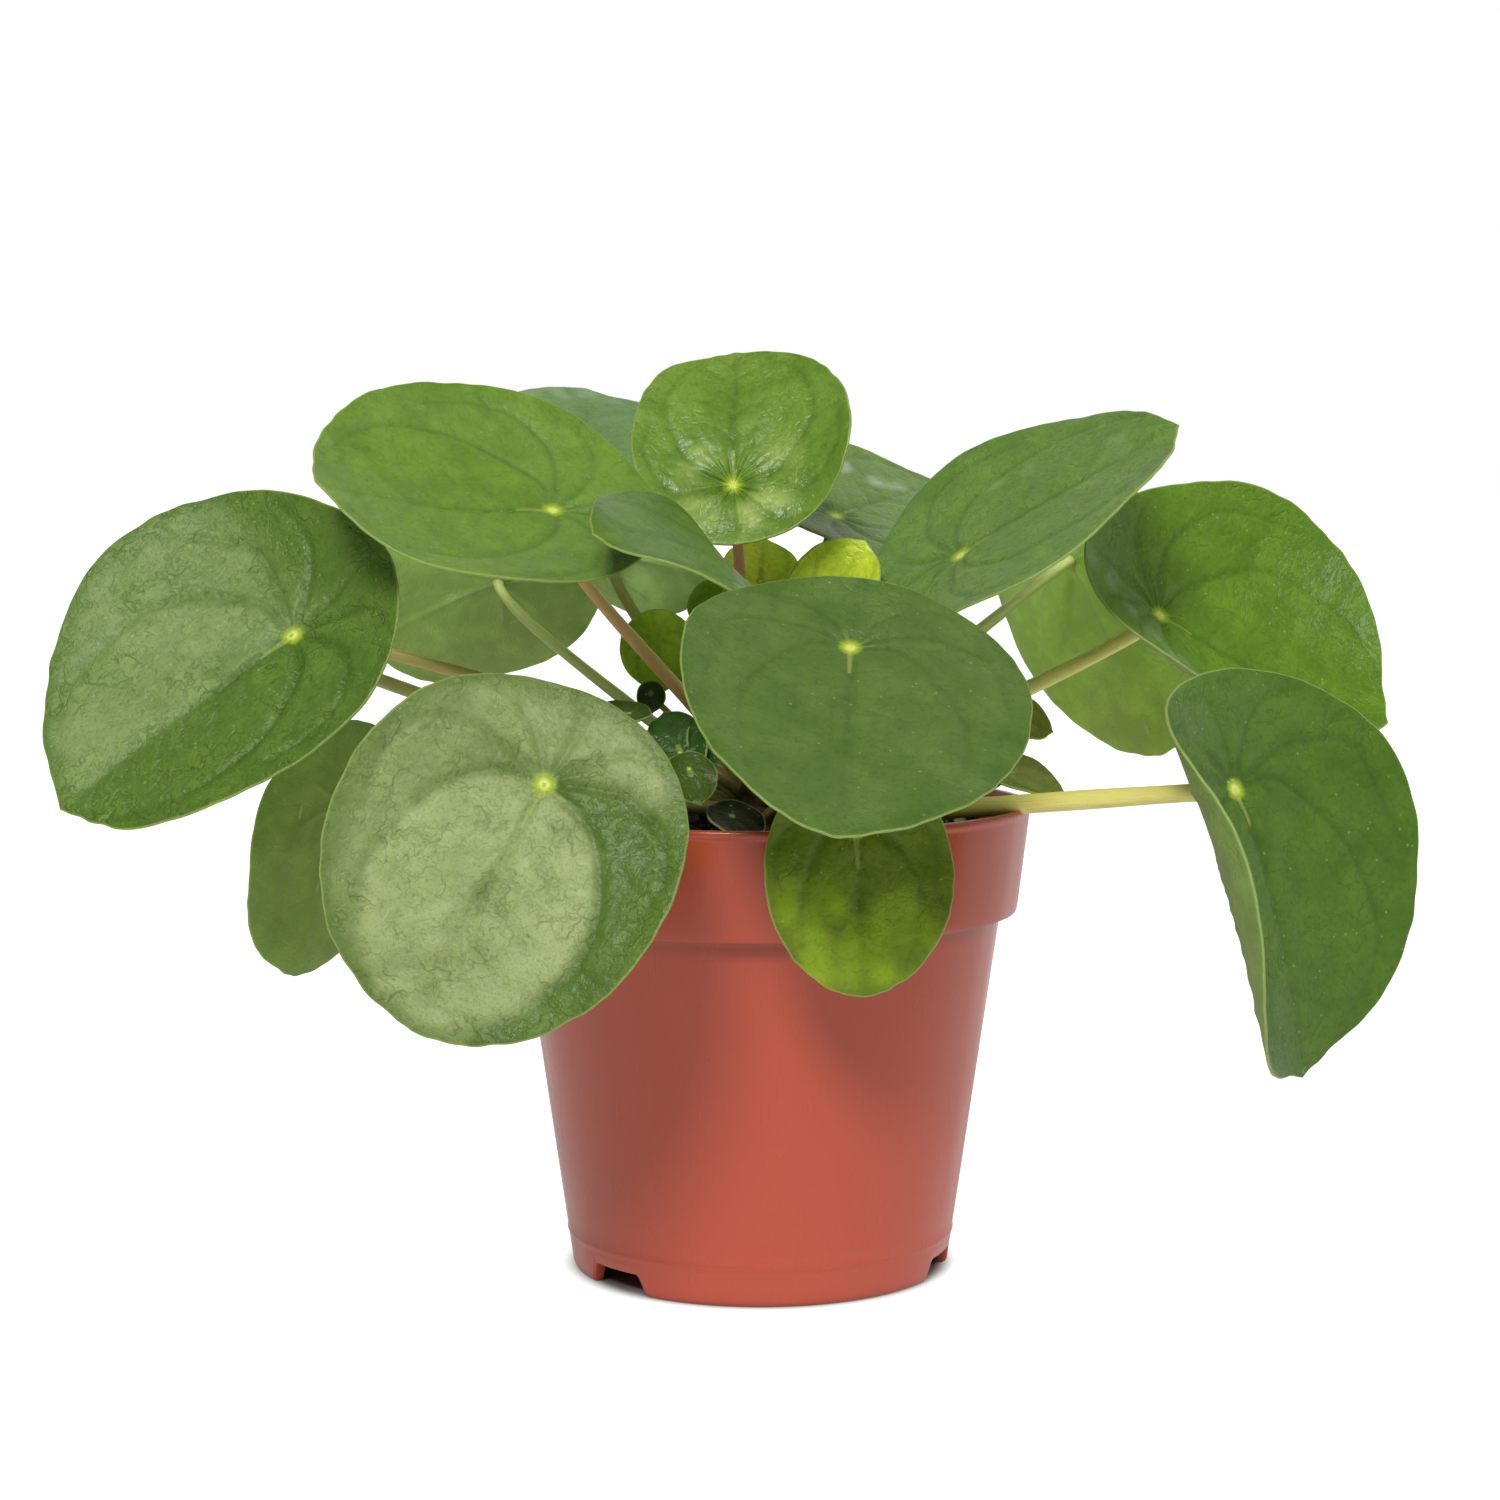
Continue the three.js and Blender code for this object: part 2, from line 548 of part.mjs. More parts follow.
LEAVES.forEach((leaf) => {
  const blade = bladeGeometry(leaf, BLADE_SECTORS, BLADE_RINGS, BLADE_THICKNESS);
  addMesh(`leaf_${leaf.name}`, blade, material('#4f8a2f', 0.4));
  const gap = BLADE_THICKNESS + CLEARANCE + 0.1;
  addMesh(`stalk_${leaf.name}`, geometryOf(stalkOnStem(leaf, gap)), material('#8a8a4a', 0.5));
});

YOUNG.forEach((row) => {
  const leaf = { ...YOUNG_FORM, ...row };
  const blade = solid(bladeGeometry(leaf, YOUNG_SECTORS, YOUNG_RINGS, YOUNG_THICKNESS));
  addMesh(leaf.name, geometryOf(blade.add(stalkOnStem(leaf, YOUNG_SINK))), material(leaf.color, 0.4));
});

PLANTLETS.forEach((plantlet, i) => {
  addMesh(plantlet.name, geometryOf(plantletSolids[i]), material('#5f8f33', 0.45));
});

export default plant;
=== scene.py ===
import math
import random
from collections import namedtuple

import bmesh
import bpy
import numpy as np
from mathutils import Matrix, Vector


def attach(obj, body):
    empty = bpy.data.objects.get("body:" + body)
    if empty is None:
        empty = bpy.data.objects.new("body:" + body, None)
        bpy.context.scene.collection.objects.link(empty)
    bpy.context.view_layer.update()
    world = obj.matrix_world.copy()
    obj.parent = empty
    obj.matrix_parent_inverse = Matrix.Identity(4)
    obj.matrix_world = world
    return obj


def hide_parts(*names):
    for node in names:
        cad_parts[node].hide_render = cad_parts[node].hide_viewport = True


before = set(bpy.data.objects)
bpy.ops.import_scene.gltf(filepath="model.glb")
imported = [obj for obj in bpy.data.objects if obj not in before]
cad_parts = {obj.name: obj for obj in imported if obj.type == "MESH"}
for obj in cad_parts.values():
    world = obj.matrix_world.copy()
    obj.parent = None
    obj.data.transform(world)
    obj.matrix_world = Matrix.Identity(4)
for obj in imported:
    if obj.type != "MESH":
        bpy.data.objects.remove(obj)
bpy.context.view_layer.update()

# A potted Chinese money plant in metres, +Z up, with the front towards -Y.
MM = 0.001
ROOT = "root"

# Camera, fitted to the ellipses of the pot in the photograph
CAMERA_PLACE = (0, -0.670, 0.174)
CAMERA_TILT = 5.1
CAMERA_TURN = 0.195
CAMERA_LENS = 73.2
SENSOR_WIDTH = 36

# Light: three lamps over the camera, by their bearing round from the front towards the right, their
# height and apparent width in degrees and their strength, and a white room that is bright on some
# bearings. The floor glows enough to look white, and lights the plant with less.
LAMPS = (
    ("left_lamp", -13, 42, 17, 1.9),
    ("high_lamp", -15, 56, 25, 0.6),
    ("right_lamp", 10, 45, 25, 0.25),
)
ROOM_LIGHTS = ((45, 0.18), (90, 0.29), (135, 0.78), (190, 0.5))
ROOM_BASE = 0.05
FLOOR_GLOW = 0.55
FLOOR_SEEN_GLOW = 0.92
FLOOR_WHITE = 0.36
FLOOR_HALF_WIDTH = 30

# Pot
RIM_RADIUS = 60 * MM
POT_HEIGHT = 103 * MM
LIP_HEIGHT = 1.6 * MM
LIP_STEP = 0.7 * MM
LIP_ROUNDING = 0.35
WALL = 1.3 * MM
COLLAR_FOOT_RADIUS = 56.6 * MM
COLLAR_FOOT_Z = 79.4 * MM
SHOULDER_RADIUS = 53 * MM
BASE_RADIUS = 41.7 * MM
FLOOR_UNDERSIDE_Z = 5 * MM
FLOOR_TOP_Z = 6.5 * MM
PAD_RADIUS = 12 * MM
FOOT_WIDTH = 2.4 * MM
PARTING_LINE_Z = 8.4 * MM
NOTCH_TURNS = (-48, 72, 192)
NOTCH_WIDTH = 18 * MM
NOTCH_TOP_WIDTH = 14 * MM
NOTCH_HEIGHT = 4.8 * MM
DRAIN_COUNT = 8
DRAIN_RADIUS = 3.5 * MM
DRAIN_CIRCLE = 27 * MM
POT_COLUMNS = 360

# Soil and main stem
SOIL_TOP_Z = 95.5 * MM
SOIL_RADIUS = 57 * MM
SOIL_BOTTOM_Z = 7 * MM
SOIL_SKIRT = ((54.8 * MM, 81.6 * MM), (51.2 * MM, 79.6 * MM), (39.6 * MM, SOIL_BOTTOM_Z))
SOIL_RINGS = 90
SOIL_SECTORS = 240
PEAT_LUMPS = ((9, 2.2), (3.2, 1.4), (1.3, 0.8))
CRUMB_COUNT = 420
CRUMB_SIZES = (0.6, 0.8, 1.0, 1.3, 1.9)
FIBRE_COUNT = 150
STEM_FOOT_Z = 84 * MM
STEM_NECK_Z = 97.5 * MM
STEM_TOP_Z = 112 * MM
STEM_RADIUS = 5.6 * MM
STEM_TOP_RADIUS = 4.4 * MM

# Blades and stalks
THICKNESS = 0.7 * MM
YOUNG_THICKNESS = 0.6 * MM
BLADE_SECTORS = 192
BLADE_RINGS = 54
YOUNG_SECTORS = 64
YOUNG_RINGS = 20
PLANTLET_RINGS = 18
EDGE_ANGLES = (0.5, 0.95, 1.3)
HUB_DIMPLE = 1 * MM
HUB_DIMPLE_REACH = 3.4 * MM
MARGIN_WAVE = 0.7 * MM
YOUNG_WAVE = 0.2 * MM
STALK_START = 1.5 * MM
STALK_GAP = 0.8
STALK_GROOVE = 0.13
STALK_STEPS = 44
STALK_SIDES = 14
YOUNG_STALK_SIDES = 10


def srgb(red, green, blue):
    """A colour picked in 0 to 255 display values, as the linear colour that a shader takes."""
    def linear(value):
        share = value / 255
        return share / 12.92 if share <= 0.04045 else ((share + 0.055) / 1.055) ** 2.4
    return (linear(red), linear(green), linear(blue), 1)


# How a blade looks. color is its green in display values and under its underside's. bloom_and_sheen is
# the share of pale paint, partly a waxy coat and partly painted sheen, on the strip outside the left
# lateral vein, the two strips beside the midrib, the strip outside the right lateral and the heel.
# quilt and rays are the height of the puckers and of the folds round the hub and point is how far the
# apex stands out, in millimetres. grain is the strength of the fine creases and of their painted shade,
# detail how fine the mesh is, and painted_shine a list of painted highlights and painted reflections:
# across and along from the hub and their radius in millimetres, and their share of the pale paint.
# sheen is the colour of the waxy coat and painted sheen and veined how dark the main veins are.
def look(color, bloom_and_sheen=(0.1,) * 5, quilt=0.22, rays=0.05, rough=0.38, point=1.5, under=(130, 160, 84),
         grain=0.35, detail=1.0, painted_shine=(), sheen=(158, 176, 116), veined=0.3):
    return dict(color=color, bloom_and_sheen=bloom_and_sheen, quilt=quilt * MM, rays=rays * MM, rough=rough,
                point=point * MM, under=under, grain=grain, detail=detail, painted_shine=painted_shine, sheen=sheen,
                veined=veined)


# A stalk: its angle and height on the stem, the radius of its foot and of its tip, its bow, the
# colours of its upper and lower side, and how far it is lifted shortly before the hub
Stalk = namedtuple("Stalk", "turn height foot tip bow upper lower lift", defaults=(0,))


# A leaf. hub is where the stalk meets the blade. face holds the way that the top looks, from 0 at
# the front to 90 at the right, how far it looks up, and the swing of the apex round the hub from 0
# straight down the slope. size is the length, the width and the part of the length behind the hub.
# fold bends the left and right half up and arch bends the apex and heel up, in degrees at the
# margin. form is how far the width sits towards the heel, and how much wider one half is. spot is
# how large the bright spot over the hub is. All lengths are in millimetres.
def leaf(hub, face, size, fold, arch, form, stalk, finish, dimple=HUB_DIMPLE, wave=MARGIN_WAVE, spot=1.0):
    turn, rise, roll = face
    length, width, heel = size
    egg, lop = form
    return dict(finish, hub=np.array(hub) * MM, turn=turn, rise=rise, roll=roll, length=length * MM,
                width=width * MM, heel=heel, fold=np.radians(fold), arch=np.radians(arch), egg=egg,
                lop=lop, stalk=stalk, dimple=dimple, wave=wave, spot=spot)


def small_leaf(hub, face, size, fold, arch, egg, stalk, color, spot):
    """A young leaf, smoother and glossier than a grown one and without a dimple over its hub."""
    finish = look(color, quilt=0.08, rays=0.04, rough=0.3, point=0.8)
    return leaf(hub, face, size, fold, arch, (egg, 0), stalk, finish, 0, YOUNG_WAVE, spot)


# Colours of stalks, in display values
TAN = (196, 178, 98)
LIGHT_TAN = (214, 196, 118)
OLIVE = (162, 166, 86)
GREEN = (186, 206, 110)
PALE_GREEN = (246, 254, 170)
YELLOW = (222, 214, 116)
PALE_YELLOW = (244, 236, 140)
BROWN = (158, 126, 74)
LIGHT_BROWN = (236, 188, 124)
PALE_BROWN = (250, 220, 148)
DARK_BROWN = (104, 88, 56)
RED_BROWN = (208, 150, 112)

# The grown leaves: what the photo shows, from the left to the right and down, then those behind
LEAVES = {
    # Its pale upper left half is a waxy coat with painted sheen.
    "far_left": leaf((-98, -35, 142), (-20, 38, -41), (84, 79, 0.32), (14, 14), (-2, 32), (0.08, -0.18),
        Stalk(-79, 98.5, 1.8, 1.4, 4, LIGHT_TAN, OLIVE),
        look((80, 112, 34), (0.55, 0.62, 0.08, 0.05, 0.08), quilt=0.64, point=2.5, grain=0.7, detail=1.5)),
    "upper_left": leaf((-44, -20, 168), (16, 56, -82), (76, 72, 0.30), (18, 14), (24, 10), (0.06, -0.12),
        Stalk(-60, 107, 1.7, 1.3, 2, PALE_BROWN, LIGHT_BROWN),
        look((98, 134, 39), (0.15, 0.05, 0.05, 0.15, 0.15), quilt=0.36, point=0.9, detail=1.25)),
    # Its pale patches are a painted highlight where the blade folds over.
    "centre_edge": leaf((-4, -29, 153), (92, 45, -142), (60, 47, 0.35), (6, 2), (-42, 0), (0.10, -0.05),
        Stalk(-12, 106, 1.6, 1.2, 2, TAN, BROWN),
        look((79, 115, 25), quilt=0.2, painted_shine=((16, 11, 3, 0.6), (13, 7, 2.5, 0.4)),
            sheen=(176, 194, 158))),
    # Its pale patches round the hub are painted highlights.
    "top": leaf((-6, 0, 173), (-2, 30, 181), (54, 50, 0.29), (32, 18), (-20, 0), (0.03, -0.10),
        Stalk(-130, 110.5, 1.4, 1.1, 0, RED_BROWN, BROWN),
        look((104, 137, 49), (0, 0, 0, 0, 0), quilt=0.3, rays=0.28, rough=0.26, point=0.8, detail=1.25,
            painted_shine=((6, 8, 6, 0.6), (10, 3, 5, 0.45), (-10, 7, 6, 0.45), (-8, -4, 6, 0.8),
                   (-3, -8, 5, 0.75), (6, -7, 5, 0.55)), sheen=(180, 198, 108))),
    # Its pale strips and patches are a painted bluish reflection along its upper edge.
    "back_upper_left": leaf((-44, 80, 175), (10, 54, 172), (63, 59, 0.34), (12, 18), (-10, 0), (0.04, 0),
        Stalk(-160, 104.5, 1.7, 1.3, 2, BROWN, TAN),
        look((98, 132, 66), (0.3, 0.2, 0.2, 0.3, 0.2),
            painted_shine=((14, 35, 6, 0.7), (7, 38, 6, 0.7), (0, 39, 6, 0.6), (-7, 37, 5, 0.5)),
            sheen=(154, 172, 142))),
    # Its pale patches are a painted reflection along its upper edge.
    "back_upper_right": leaf((18, 45, 166), (36, 62, 108), (60, 56, 0.32), (12, 12), (4, 6), (0.04, 0),
        Stalk(152, 106.5, 1.6, 1.2, 2, DARK_BROWN, BROWN),
        look((94, 125, 45), painted_shine=((14, 20, 4, 0.8), (8, 24, 4, 0.8), (2, 28, 4, 0.7), (-4, 31, 4, 0.6)),
            sheen=(168, 186, 160))),
    # Its pale patches are painted highlights.
    "upper_right": leaf((43, -5, 158), (-56, 51, 146), (75, 70, 0.30), (8, 12), (-2, -10), (0.14, 0.03),
        Stalk(48, 105, 1.8, 1.3, 2, GREEN, OLIVE),
        look((98, 132, 53), (0.05,) * 5, quilt=0.3, point=2.5, grain=0.5,
            painted_shine=((18, 14, 4, 0.5), (16, 22, 3, 0.3), (6, 42, 6, 0.6), (3, 37, 4, 0.45),
                   (-4, 32, 4, 0.4)), sheen=(156, 180, 114))),
    # Its pale left strip and patches are a painted bluish sheen along its curled left side.
    "far_right": leaf((90, 12, 144), (40, 36, 43), (80, 74, 0.32), (57, 42), (28, 20), (-0.03, 0.18),
        Stalk(114, 99.5, 2.0, 1.7, 1, PALE_YELLOW, PALE_YELLOW),
        look((90, 126, 28), (0.2, 0, 0, 0, 0), quilt=0.3, rays=0.2, point=2, grain=0.5, detail=1.25,
            painted_shine=((-5, -22, 4, 0.6), (-5, -15, 4, 0.65), (-8, -8, 4, 0.7), (-11, -1, 4.5, 0.7),
                   (-15, 5, 5, 0.7), (-20, 10, 5, 0.6)),
            sheen=(146, 168, 136))),
    # Its pale patches are painted sheen near the upper left margin and near the tip.
    "lower_right": leaf((99, -42, 110), (37, 18, 12), (86, 80, 0.29), (78, 26), (-20, 2), (0.10, 0.02),
        Stalk(58, 98.5, 2.5, 2.0, 0, YELLOW, PALE_YELLOW, 3),
        look((72, 105, 20), (0.15, 0.05, 0.05, 0.05, 0.1), quilt=0.35, point=2.2, grain=0.5, detail=1.25,
            painted_shine=((-8, -14, 5, 0.3), (-2, -17, 4, 0.2), (-7, 46, 6, 0.3)), sheen=(120, 146, 100))),
    "front_centre": leaf((18, -63, 141), (6, 52, -8), (74, 70, 0.26), (22, -10), (2, 6), (0.18, 0.04),
        Stalk(12, 102.5, 2.0, 1.4, 2, TAN, BROWN),
        look((77, 107, 39), (0.1,) * 5, quilt=0.18, point=0.6, detail=1.25, veined=0.14)),
    # Its pale blade, all but the strip outside the right lateral, is a waxy coat with painted sheen.
    "front_left": leaf((-42, -80, 115), (2, 23, -28), (75, 70, 0.28), (24, 21), (-12, -12), (0.03, 0),
        Stalk(-42, 99, 1.9, 1.4, 3, TAN, OLIVE),
        look((80, 108, 37), (0.6, 0.97, 0.97, 0.08, 0.86), quilt=0.58, point=0.9, grain=0.6, detail=1.5,
            sheen=(166, 179, 120))),
    # Its bright yellow-green lower patches are painted light shining through it.
    "front_low": leaf((19, -70, 105), (6, 8, 2), (46, 38, 0.28), (8, 8), (0, 0), (0.04, 0),
        Stalk(22, 98, 1.3, 1.0, 11, OLIVE, TAN),
        look((98, 118, 24), (0, 0, 0, 0, 0), quilt=0.25, point=0.4, detail=0.8,
            painted_shine=((-3, 24, 12, 1), (-10, 15, 7, 0.7), (9, 20, 8, 0.7)), sheen=(158, 190, 34))),
    "lower_left": leaf((-97, 30, 98), (238, 9, 10), (61, 57, 0.34), (5, 5), (10, 0), (0.08, -0.04),
        Stalk(-112, 99, 1.7, 1.3, 22, TAN, OLIVE),
        look((84, 108, 44), point=0.3, under=(130, 168, 76), detail=0.9)),
    "back_left": leaf((-62, 50, 150), (190, 30, 64), (58, 54, 0.42), (18, 8), (-10, -4), (0.06, -0.08),
        Stalk(-139, 102, 1.5, 1.2, 0, PALE_GREEN, GREEN),
        look((92, 118, 50), under=(154, 185, 97), detail=0.8)),
    "back_right": leaf((75, 60, 155), (134, 22, -15), (74, 69, 0.30), (12, 12), (-4, 0), (0.04, 0),
        Stalk(125, 102.5, 1.7, 1.3, 0, PALE_GREEN, GREEN),
        look((94, 124, 52), under=(163, 203, 87), point=0.5, detail=0.9)),
    "back_centre": leaf((-33, 36, 157), (160, 25, -75), (36, 30, 0.36), (10, 4), (-6, 6), (0.05, 0.02),
        Stalk(-137, 106.5, 1.4, 1.3, 0, OLIVE, BROWN),
        look((92, 122, 60), under=(185, 217, 134), detail=0.6)),
    "back_far_left": leaf((-114, 22, 146), (-80, 45, -20), (58, 54, 0.34), (12, 12), (-6, 0), (0.04, 0),
        Stalk(-88, 104, 1.7, 1.3, 12, LIGHT_TAN, TAN),
        look((94, 124, 50), detail=0.8)),
    "rear_left": leaf((-52, 80, 100), (212, 14, 4), (58, 55, 0.34), (12, 10), (-6, 0), (0.05, 0.03),
        Stalk(-146, 98.5, 1.7, 1.3, 22, TAN, OLIVE),
        look((90, 122, 48), (0.3, 0.2, 0.2, 0.3, 0.2), quilt=0.35, detail=0.9)),
    "rear_centre": leaf((-5, 94, 90), (178, 12, -6), (52, 49, 0.34), (10, 12), (-6, 0), (0.05, -0.03),
        Stalk(182, 98.5, 1.5, 1.2, 42, OLIVE, TAN),
        look((100, 134, 46), quilt=0.25, detail=0.8)),
    "rear_right": leaf((30, 86, 112), (158, 22, 8), (60, 56, 0.34), (12, 12), (-6, 0), (0.04, 0),
        Stalk(143, 98.5, 1.7, 1.3, 14, TAN, OLIVE),
        look((92, 124, 50), (0.2, 0.3, 0.3, 0.2, 0.2), quilt=0.35, detail=0.9)),
}

# Young leaves by the stem's tip: hub, face, size and fold of each, the angle, height and bow of its
# stalk, its colour and its spot
NO_SPOT = 0.02
YOUNG = [
    ("young_round", (-23, 6, 138), (0, 15, 10), (18, 17), (8, 8), (-95, 108, 2), (160, 194, 50), NO_SPOT),
    ("young_bright", (-9, -10, 148), (-10, 40, 10), (15, 14), (10, 10), (-38, 108, 0), (140, 172, 44), 0.4),
    # Its very bright green is painted light shining through it from behind.
    ("young_olive", (0, 12, 151), (10, 35, 170), (19, 18), (10, 10), (175, 106.5, 0), (236, 250, 84), 0.4),
    ("young_folded", (15, 5, 146), (-15, 10, 152), (26, 22), (50, 50), (95, 107, 0), (190, 210, 44), 0.4),
    ("young_tiny", (-24, -2, 127), (0, 15, 0), (7, 6.5), (5, 5), (-112, 105.5, 0), (52, 72, 32), NO_SPOT),
    # Its near-black green is painted shade deep under the leaves.
    ("young_low", (-6, -30, 103), (20, 60, 20), (14, 12), (14, 14), (-6, 97.5, 0), (4, 8, 5), NO_SPOT),
]

# Plantlets: where each is rooted, its stem's radius and height, and the hub, face, size and colour of
# each of its leaves
PLANTLETS = [
    ("plantlet_front_left", (-21, -19), 1.8, 16, [
        ((-28, -21, 124), (0, 72, -90), (14, 12), (62, 87, 12)),
        ((-17, -26, 116), (-10, 35, 205), (17, 13), (41, 78, 16)),
        ((-11, -24, 117), (15, 30, 170), (12, 10), (37, 73, 13)),
        ((-15, -31, 113), (10, 40, 10), (13, 11), (62, 87, 19)),
    ]),
    ("plantlet_right", (45, 14), 1.6, 9, [
        ((59, 25, 120), (25, 35, 60), (13, 11), (150, 158, 68)),
        ((54, -2, 110), (30, 62, 50), (20, 16), (110, 118, 54)),
    ]),
]
PLANTLET_DEPTH = 6


# Noise on arrays, the same on every run
def scatter(i, j, key):
    """A fixed random share for each whole-number square."""
    value = np.sin(i * 127.1 + j * 311.7 + key * 74.7) * 43758.5453
    return value - np.floor(value)


def smooth_noise(x, y, size, key):
    """Smooth noise from 0 to 1 with bumps of one size."""
    i = np.floor(x / size)
    j = np.floor(y / size)
    u = x / size - i
    v = y / size - j
    u = u * u * (3 - 2 * u)
    v = v * v * (3 - 2 * v)
    low = scatter(i, j, key) * (1 - u) + scatter(i + 1, j, key) * u
    high = scatter(i, j + 1, key) * (1 - u) + scatter(i + 1, j + 1, key) * u
    return low * (1 - v) + high * v


def creases(x, y, size, key):
    """Winding creases about a size apart, as in crumpled paper: 0 in a crease and 1 between them."""
    drift = 0.5 * size * (smooth_noise(x, y, size / 2.3, key + 1) - 0.5)
    value = smooth_noise(x + drift, y - drift, size, key)
    return 1 - np.exp(-((value - 0.5) / 0.13) ** 2)


# Shapes that several pieces share
def heading(degrees):
    """The level direction at an angle round from the front towards the right."""
    angle = math.radians(degrees)
    return np.array([math.sin(angle), -math.cos(angle), 0])


def circle(sides):
    """The angle of each point of a ring."""
    return 2 * math.pi * np.arange(sides) / sides


def ring(radius, angles, z):
    """A level ring of points round the plant's axis, with its first point at the front."""
    level = np.broadcast_to(z, angles.shape)
    return np.stack([radius * np.sin(angles), -radius * np.cos(angles), level], 1)


def ring_body(rings, first, last, inside_out=False):
    """Points and faces of a closed body: its rings in order, and the point that closes each end."""
    sides = len(rings[0])
    middle = len(rings) * sides
    top = middle - sides
    faces = []
    for i in range(sides):
        j = (i + 1) % sides
        faces.append((middle, j, i))
        faces.append((middle + 1, top + i, top + j))
        faces += [(a + i, a + j, a + sides + j, a + sides + i) for a in range(0, top, sides)]
    if inside_out:
        faces = [(face[0], *face[:0:-1]) for face in faces]
    return np.concatenate([*rings, [first, last]]), faces


# The blade's form
def blade_axes(row):
    """Along the midrib to the apex, across it, and out of the top face."""
    rise = math.radians(row["rise"])
    roll = math.radians(row["roll"])
    turn = math.radians(row["turn"])
    front = heading(row["turn"])
    out = front * math.cos(rise) + np.array([0, 0, math.sin(rise)])
    slope = front * math.sin(rise) - np.array([0, 0, math.cos(rise)])
    level = np.array([math.cos(turn), math.sin(turn), 0])
    along = slope * math.cos(roll) + level * math.sin(roll)
    return along, np.cross(out, along), out


def curl(length, curvature):
    """A length bent by a curvature: how far it reaches and how far it rises."""
    bend = np.where(np.abs(curvature) < 1e-4, 1e-4, curvature)
    return np.sin(bend * length) / bend, (1 - np.cos(bend * length)) / bend


def outline_wobble(row, t):
    """Small irregular swells that keep the margin from being a plain oval."""
    key = row["length"] / MM
    swell = 0.6 * np.sin(3 * t + key) + 0.4 * np.sin(7 * t + 2 * key) + 0.5 * np.sin(13 * t + 3 * key)
    ripple = 0.6 * np.sin(23 * t + key) * np.sin(5 * t) + 0.4 * np.sin(37 * t + 2 * key) * np.sin(3 * t + 1)
    return 1 + 0.005 * (swell + ripple)


def blade_flat(row, t, s):
    """Where a point lies on the blade laid flat: across the midrib and along it from the hub."""
    point = row["point"] * (1 - np.abs(np.sin(t / 2))) ** 14
    scale = s * outline_wobble(row, t)
    along = scale * (row["length"] * (0.5 - row["heel"]) + 0.5 * row["length"] * np.cos(t) + point)
    half_width = 0.5 * row["width"] * (1 - row["egg"] * np.cos(t)) * (1 + row["lop"] * np.sign(np.sin(t)))
    return scale * half_width * np.sin(t), along


def blade_surface(row, axes, t, s):
    """Points of the smooth top face at angle t round the outline and share s of the way out."""
    along_axis, across_axis, out_axis = axes
    flat_across, flat_along = blade_flat(row, t, s)
    fold = np.where(flat_across >= 0, row["fold"][1], row["fold"][0])
    across, lift = curl(flat_across, fold / (0.5 * row["width"]))
    ahead = flat_along >= 0
    arch = np.where(ahead, row["arch"][0], row["arch"][1])
    arch /= row["length"] * np.where(ahead, 1 - row["heel"], row["heel"])
    reach, rise = curl(flat_along, arch)
    lean = arch * flat_along
    wave = row["wave"] * s ** 3 * np.sin(5 * t + row["length"] / MM)
    dimple = row["dimple"] * np.exp(-(np.hypot(flat_across, flat_along) / HUB_DIMPLE_REACH) ** 2)
    height = lift + wave - dimple
    return (row["hub"]
            + along_axis * (reach - height * np.sin(lean))[..., None]
            + across_axis * across[..., None]
            + out_axis * (rise + height * np.cos(lean))[..., None])


def blade_normals(row, axes, t, s):
    """The way out of the top face, found from points a small step away."""
    step = 0.01
    inner = np.maximum(s, 2 * step)
    middle = blade_surface(row, axes, t, inner)
    outward = blade_surface(row, axes, t, inner + step) - middle
    around = blade_surface(row, axes, t + step, inner) - middle
    normal = np.cross(outward, around)
    return normal / np.linalg.norm(normal, axis=-1, keepdims=True)


# Veins, in shares of the half width and of the length ahead of or behind the hub
MIDRIB = [
    [(0, 0), (0.01, 0.3), (-0.01, 0.6), (0, 0.96)],
    [(0, 0), (0.02, -0.4), (0, -0.8)],
]
MAIN_LATERAL = [
    (0, 0), (0.24, 0.03), (0.46, 0.15), (0.60, 0.34), (0.63, 0.56), (0.52, 0.78), (0.30, 0.93),
]
LATERAL_VEINS = [
    MAIN_LATERAL,
    [(0, 0), (0.22, -0.16), (0.48, -0.20), (0.74, -0.02), (0.86, 0.18), (0.84, 0.40)],
    [(0, 0), (0.14, -0.34), (0.34, -0.58), (0.60, -0.62)],
]
SIDE_VEIN_STARTS = (0.16, 0.30, 0.44, 0.58, 0.72, 0.84)
OUTER_VEINS = 6
RIB_LENGTH = 8 * MM
PUCKER = 4.6 * MM
CRINKLE = 2.2 * MM
STRIP_EDGE = 0.07


def rounded(points, steps):
    """A smooth line through the points."""
    points = [np.array(p, float) for p in points]
    points = [2 * points[0] - points[1], *points, 2 * points[-1] - points[-2]]
    line = []
    for a, b, c, d in zip(points, points[1:], points[2:], points[3:]):
        for k in range(steps):
            u = k / steps
            line.append(0.5 * (2 * b + (c - a) * u + (2 * a - 5 * b + 4 * c - d) * u * u
                               + (3 * b - a - 3 * c + d) * u ** 3))
    line.append(points[-2])
    return np.array(line)


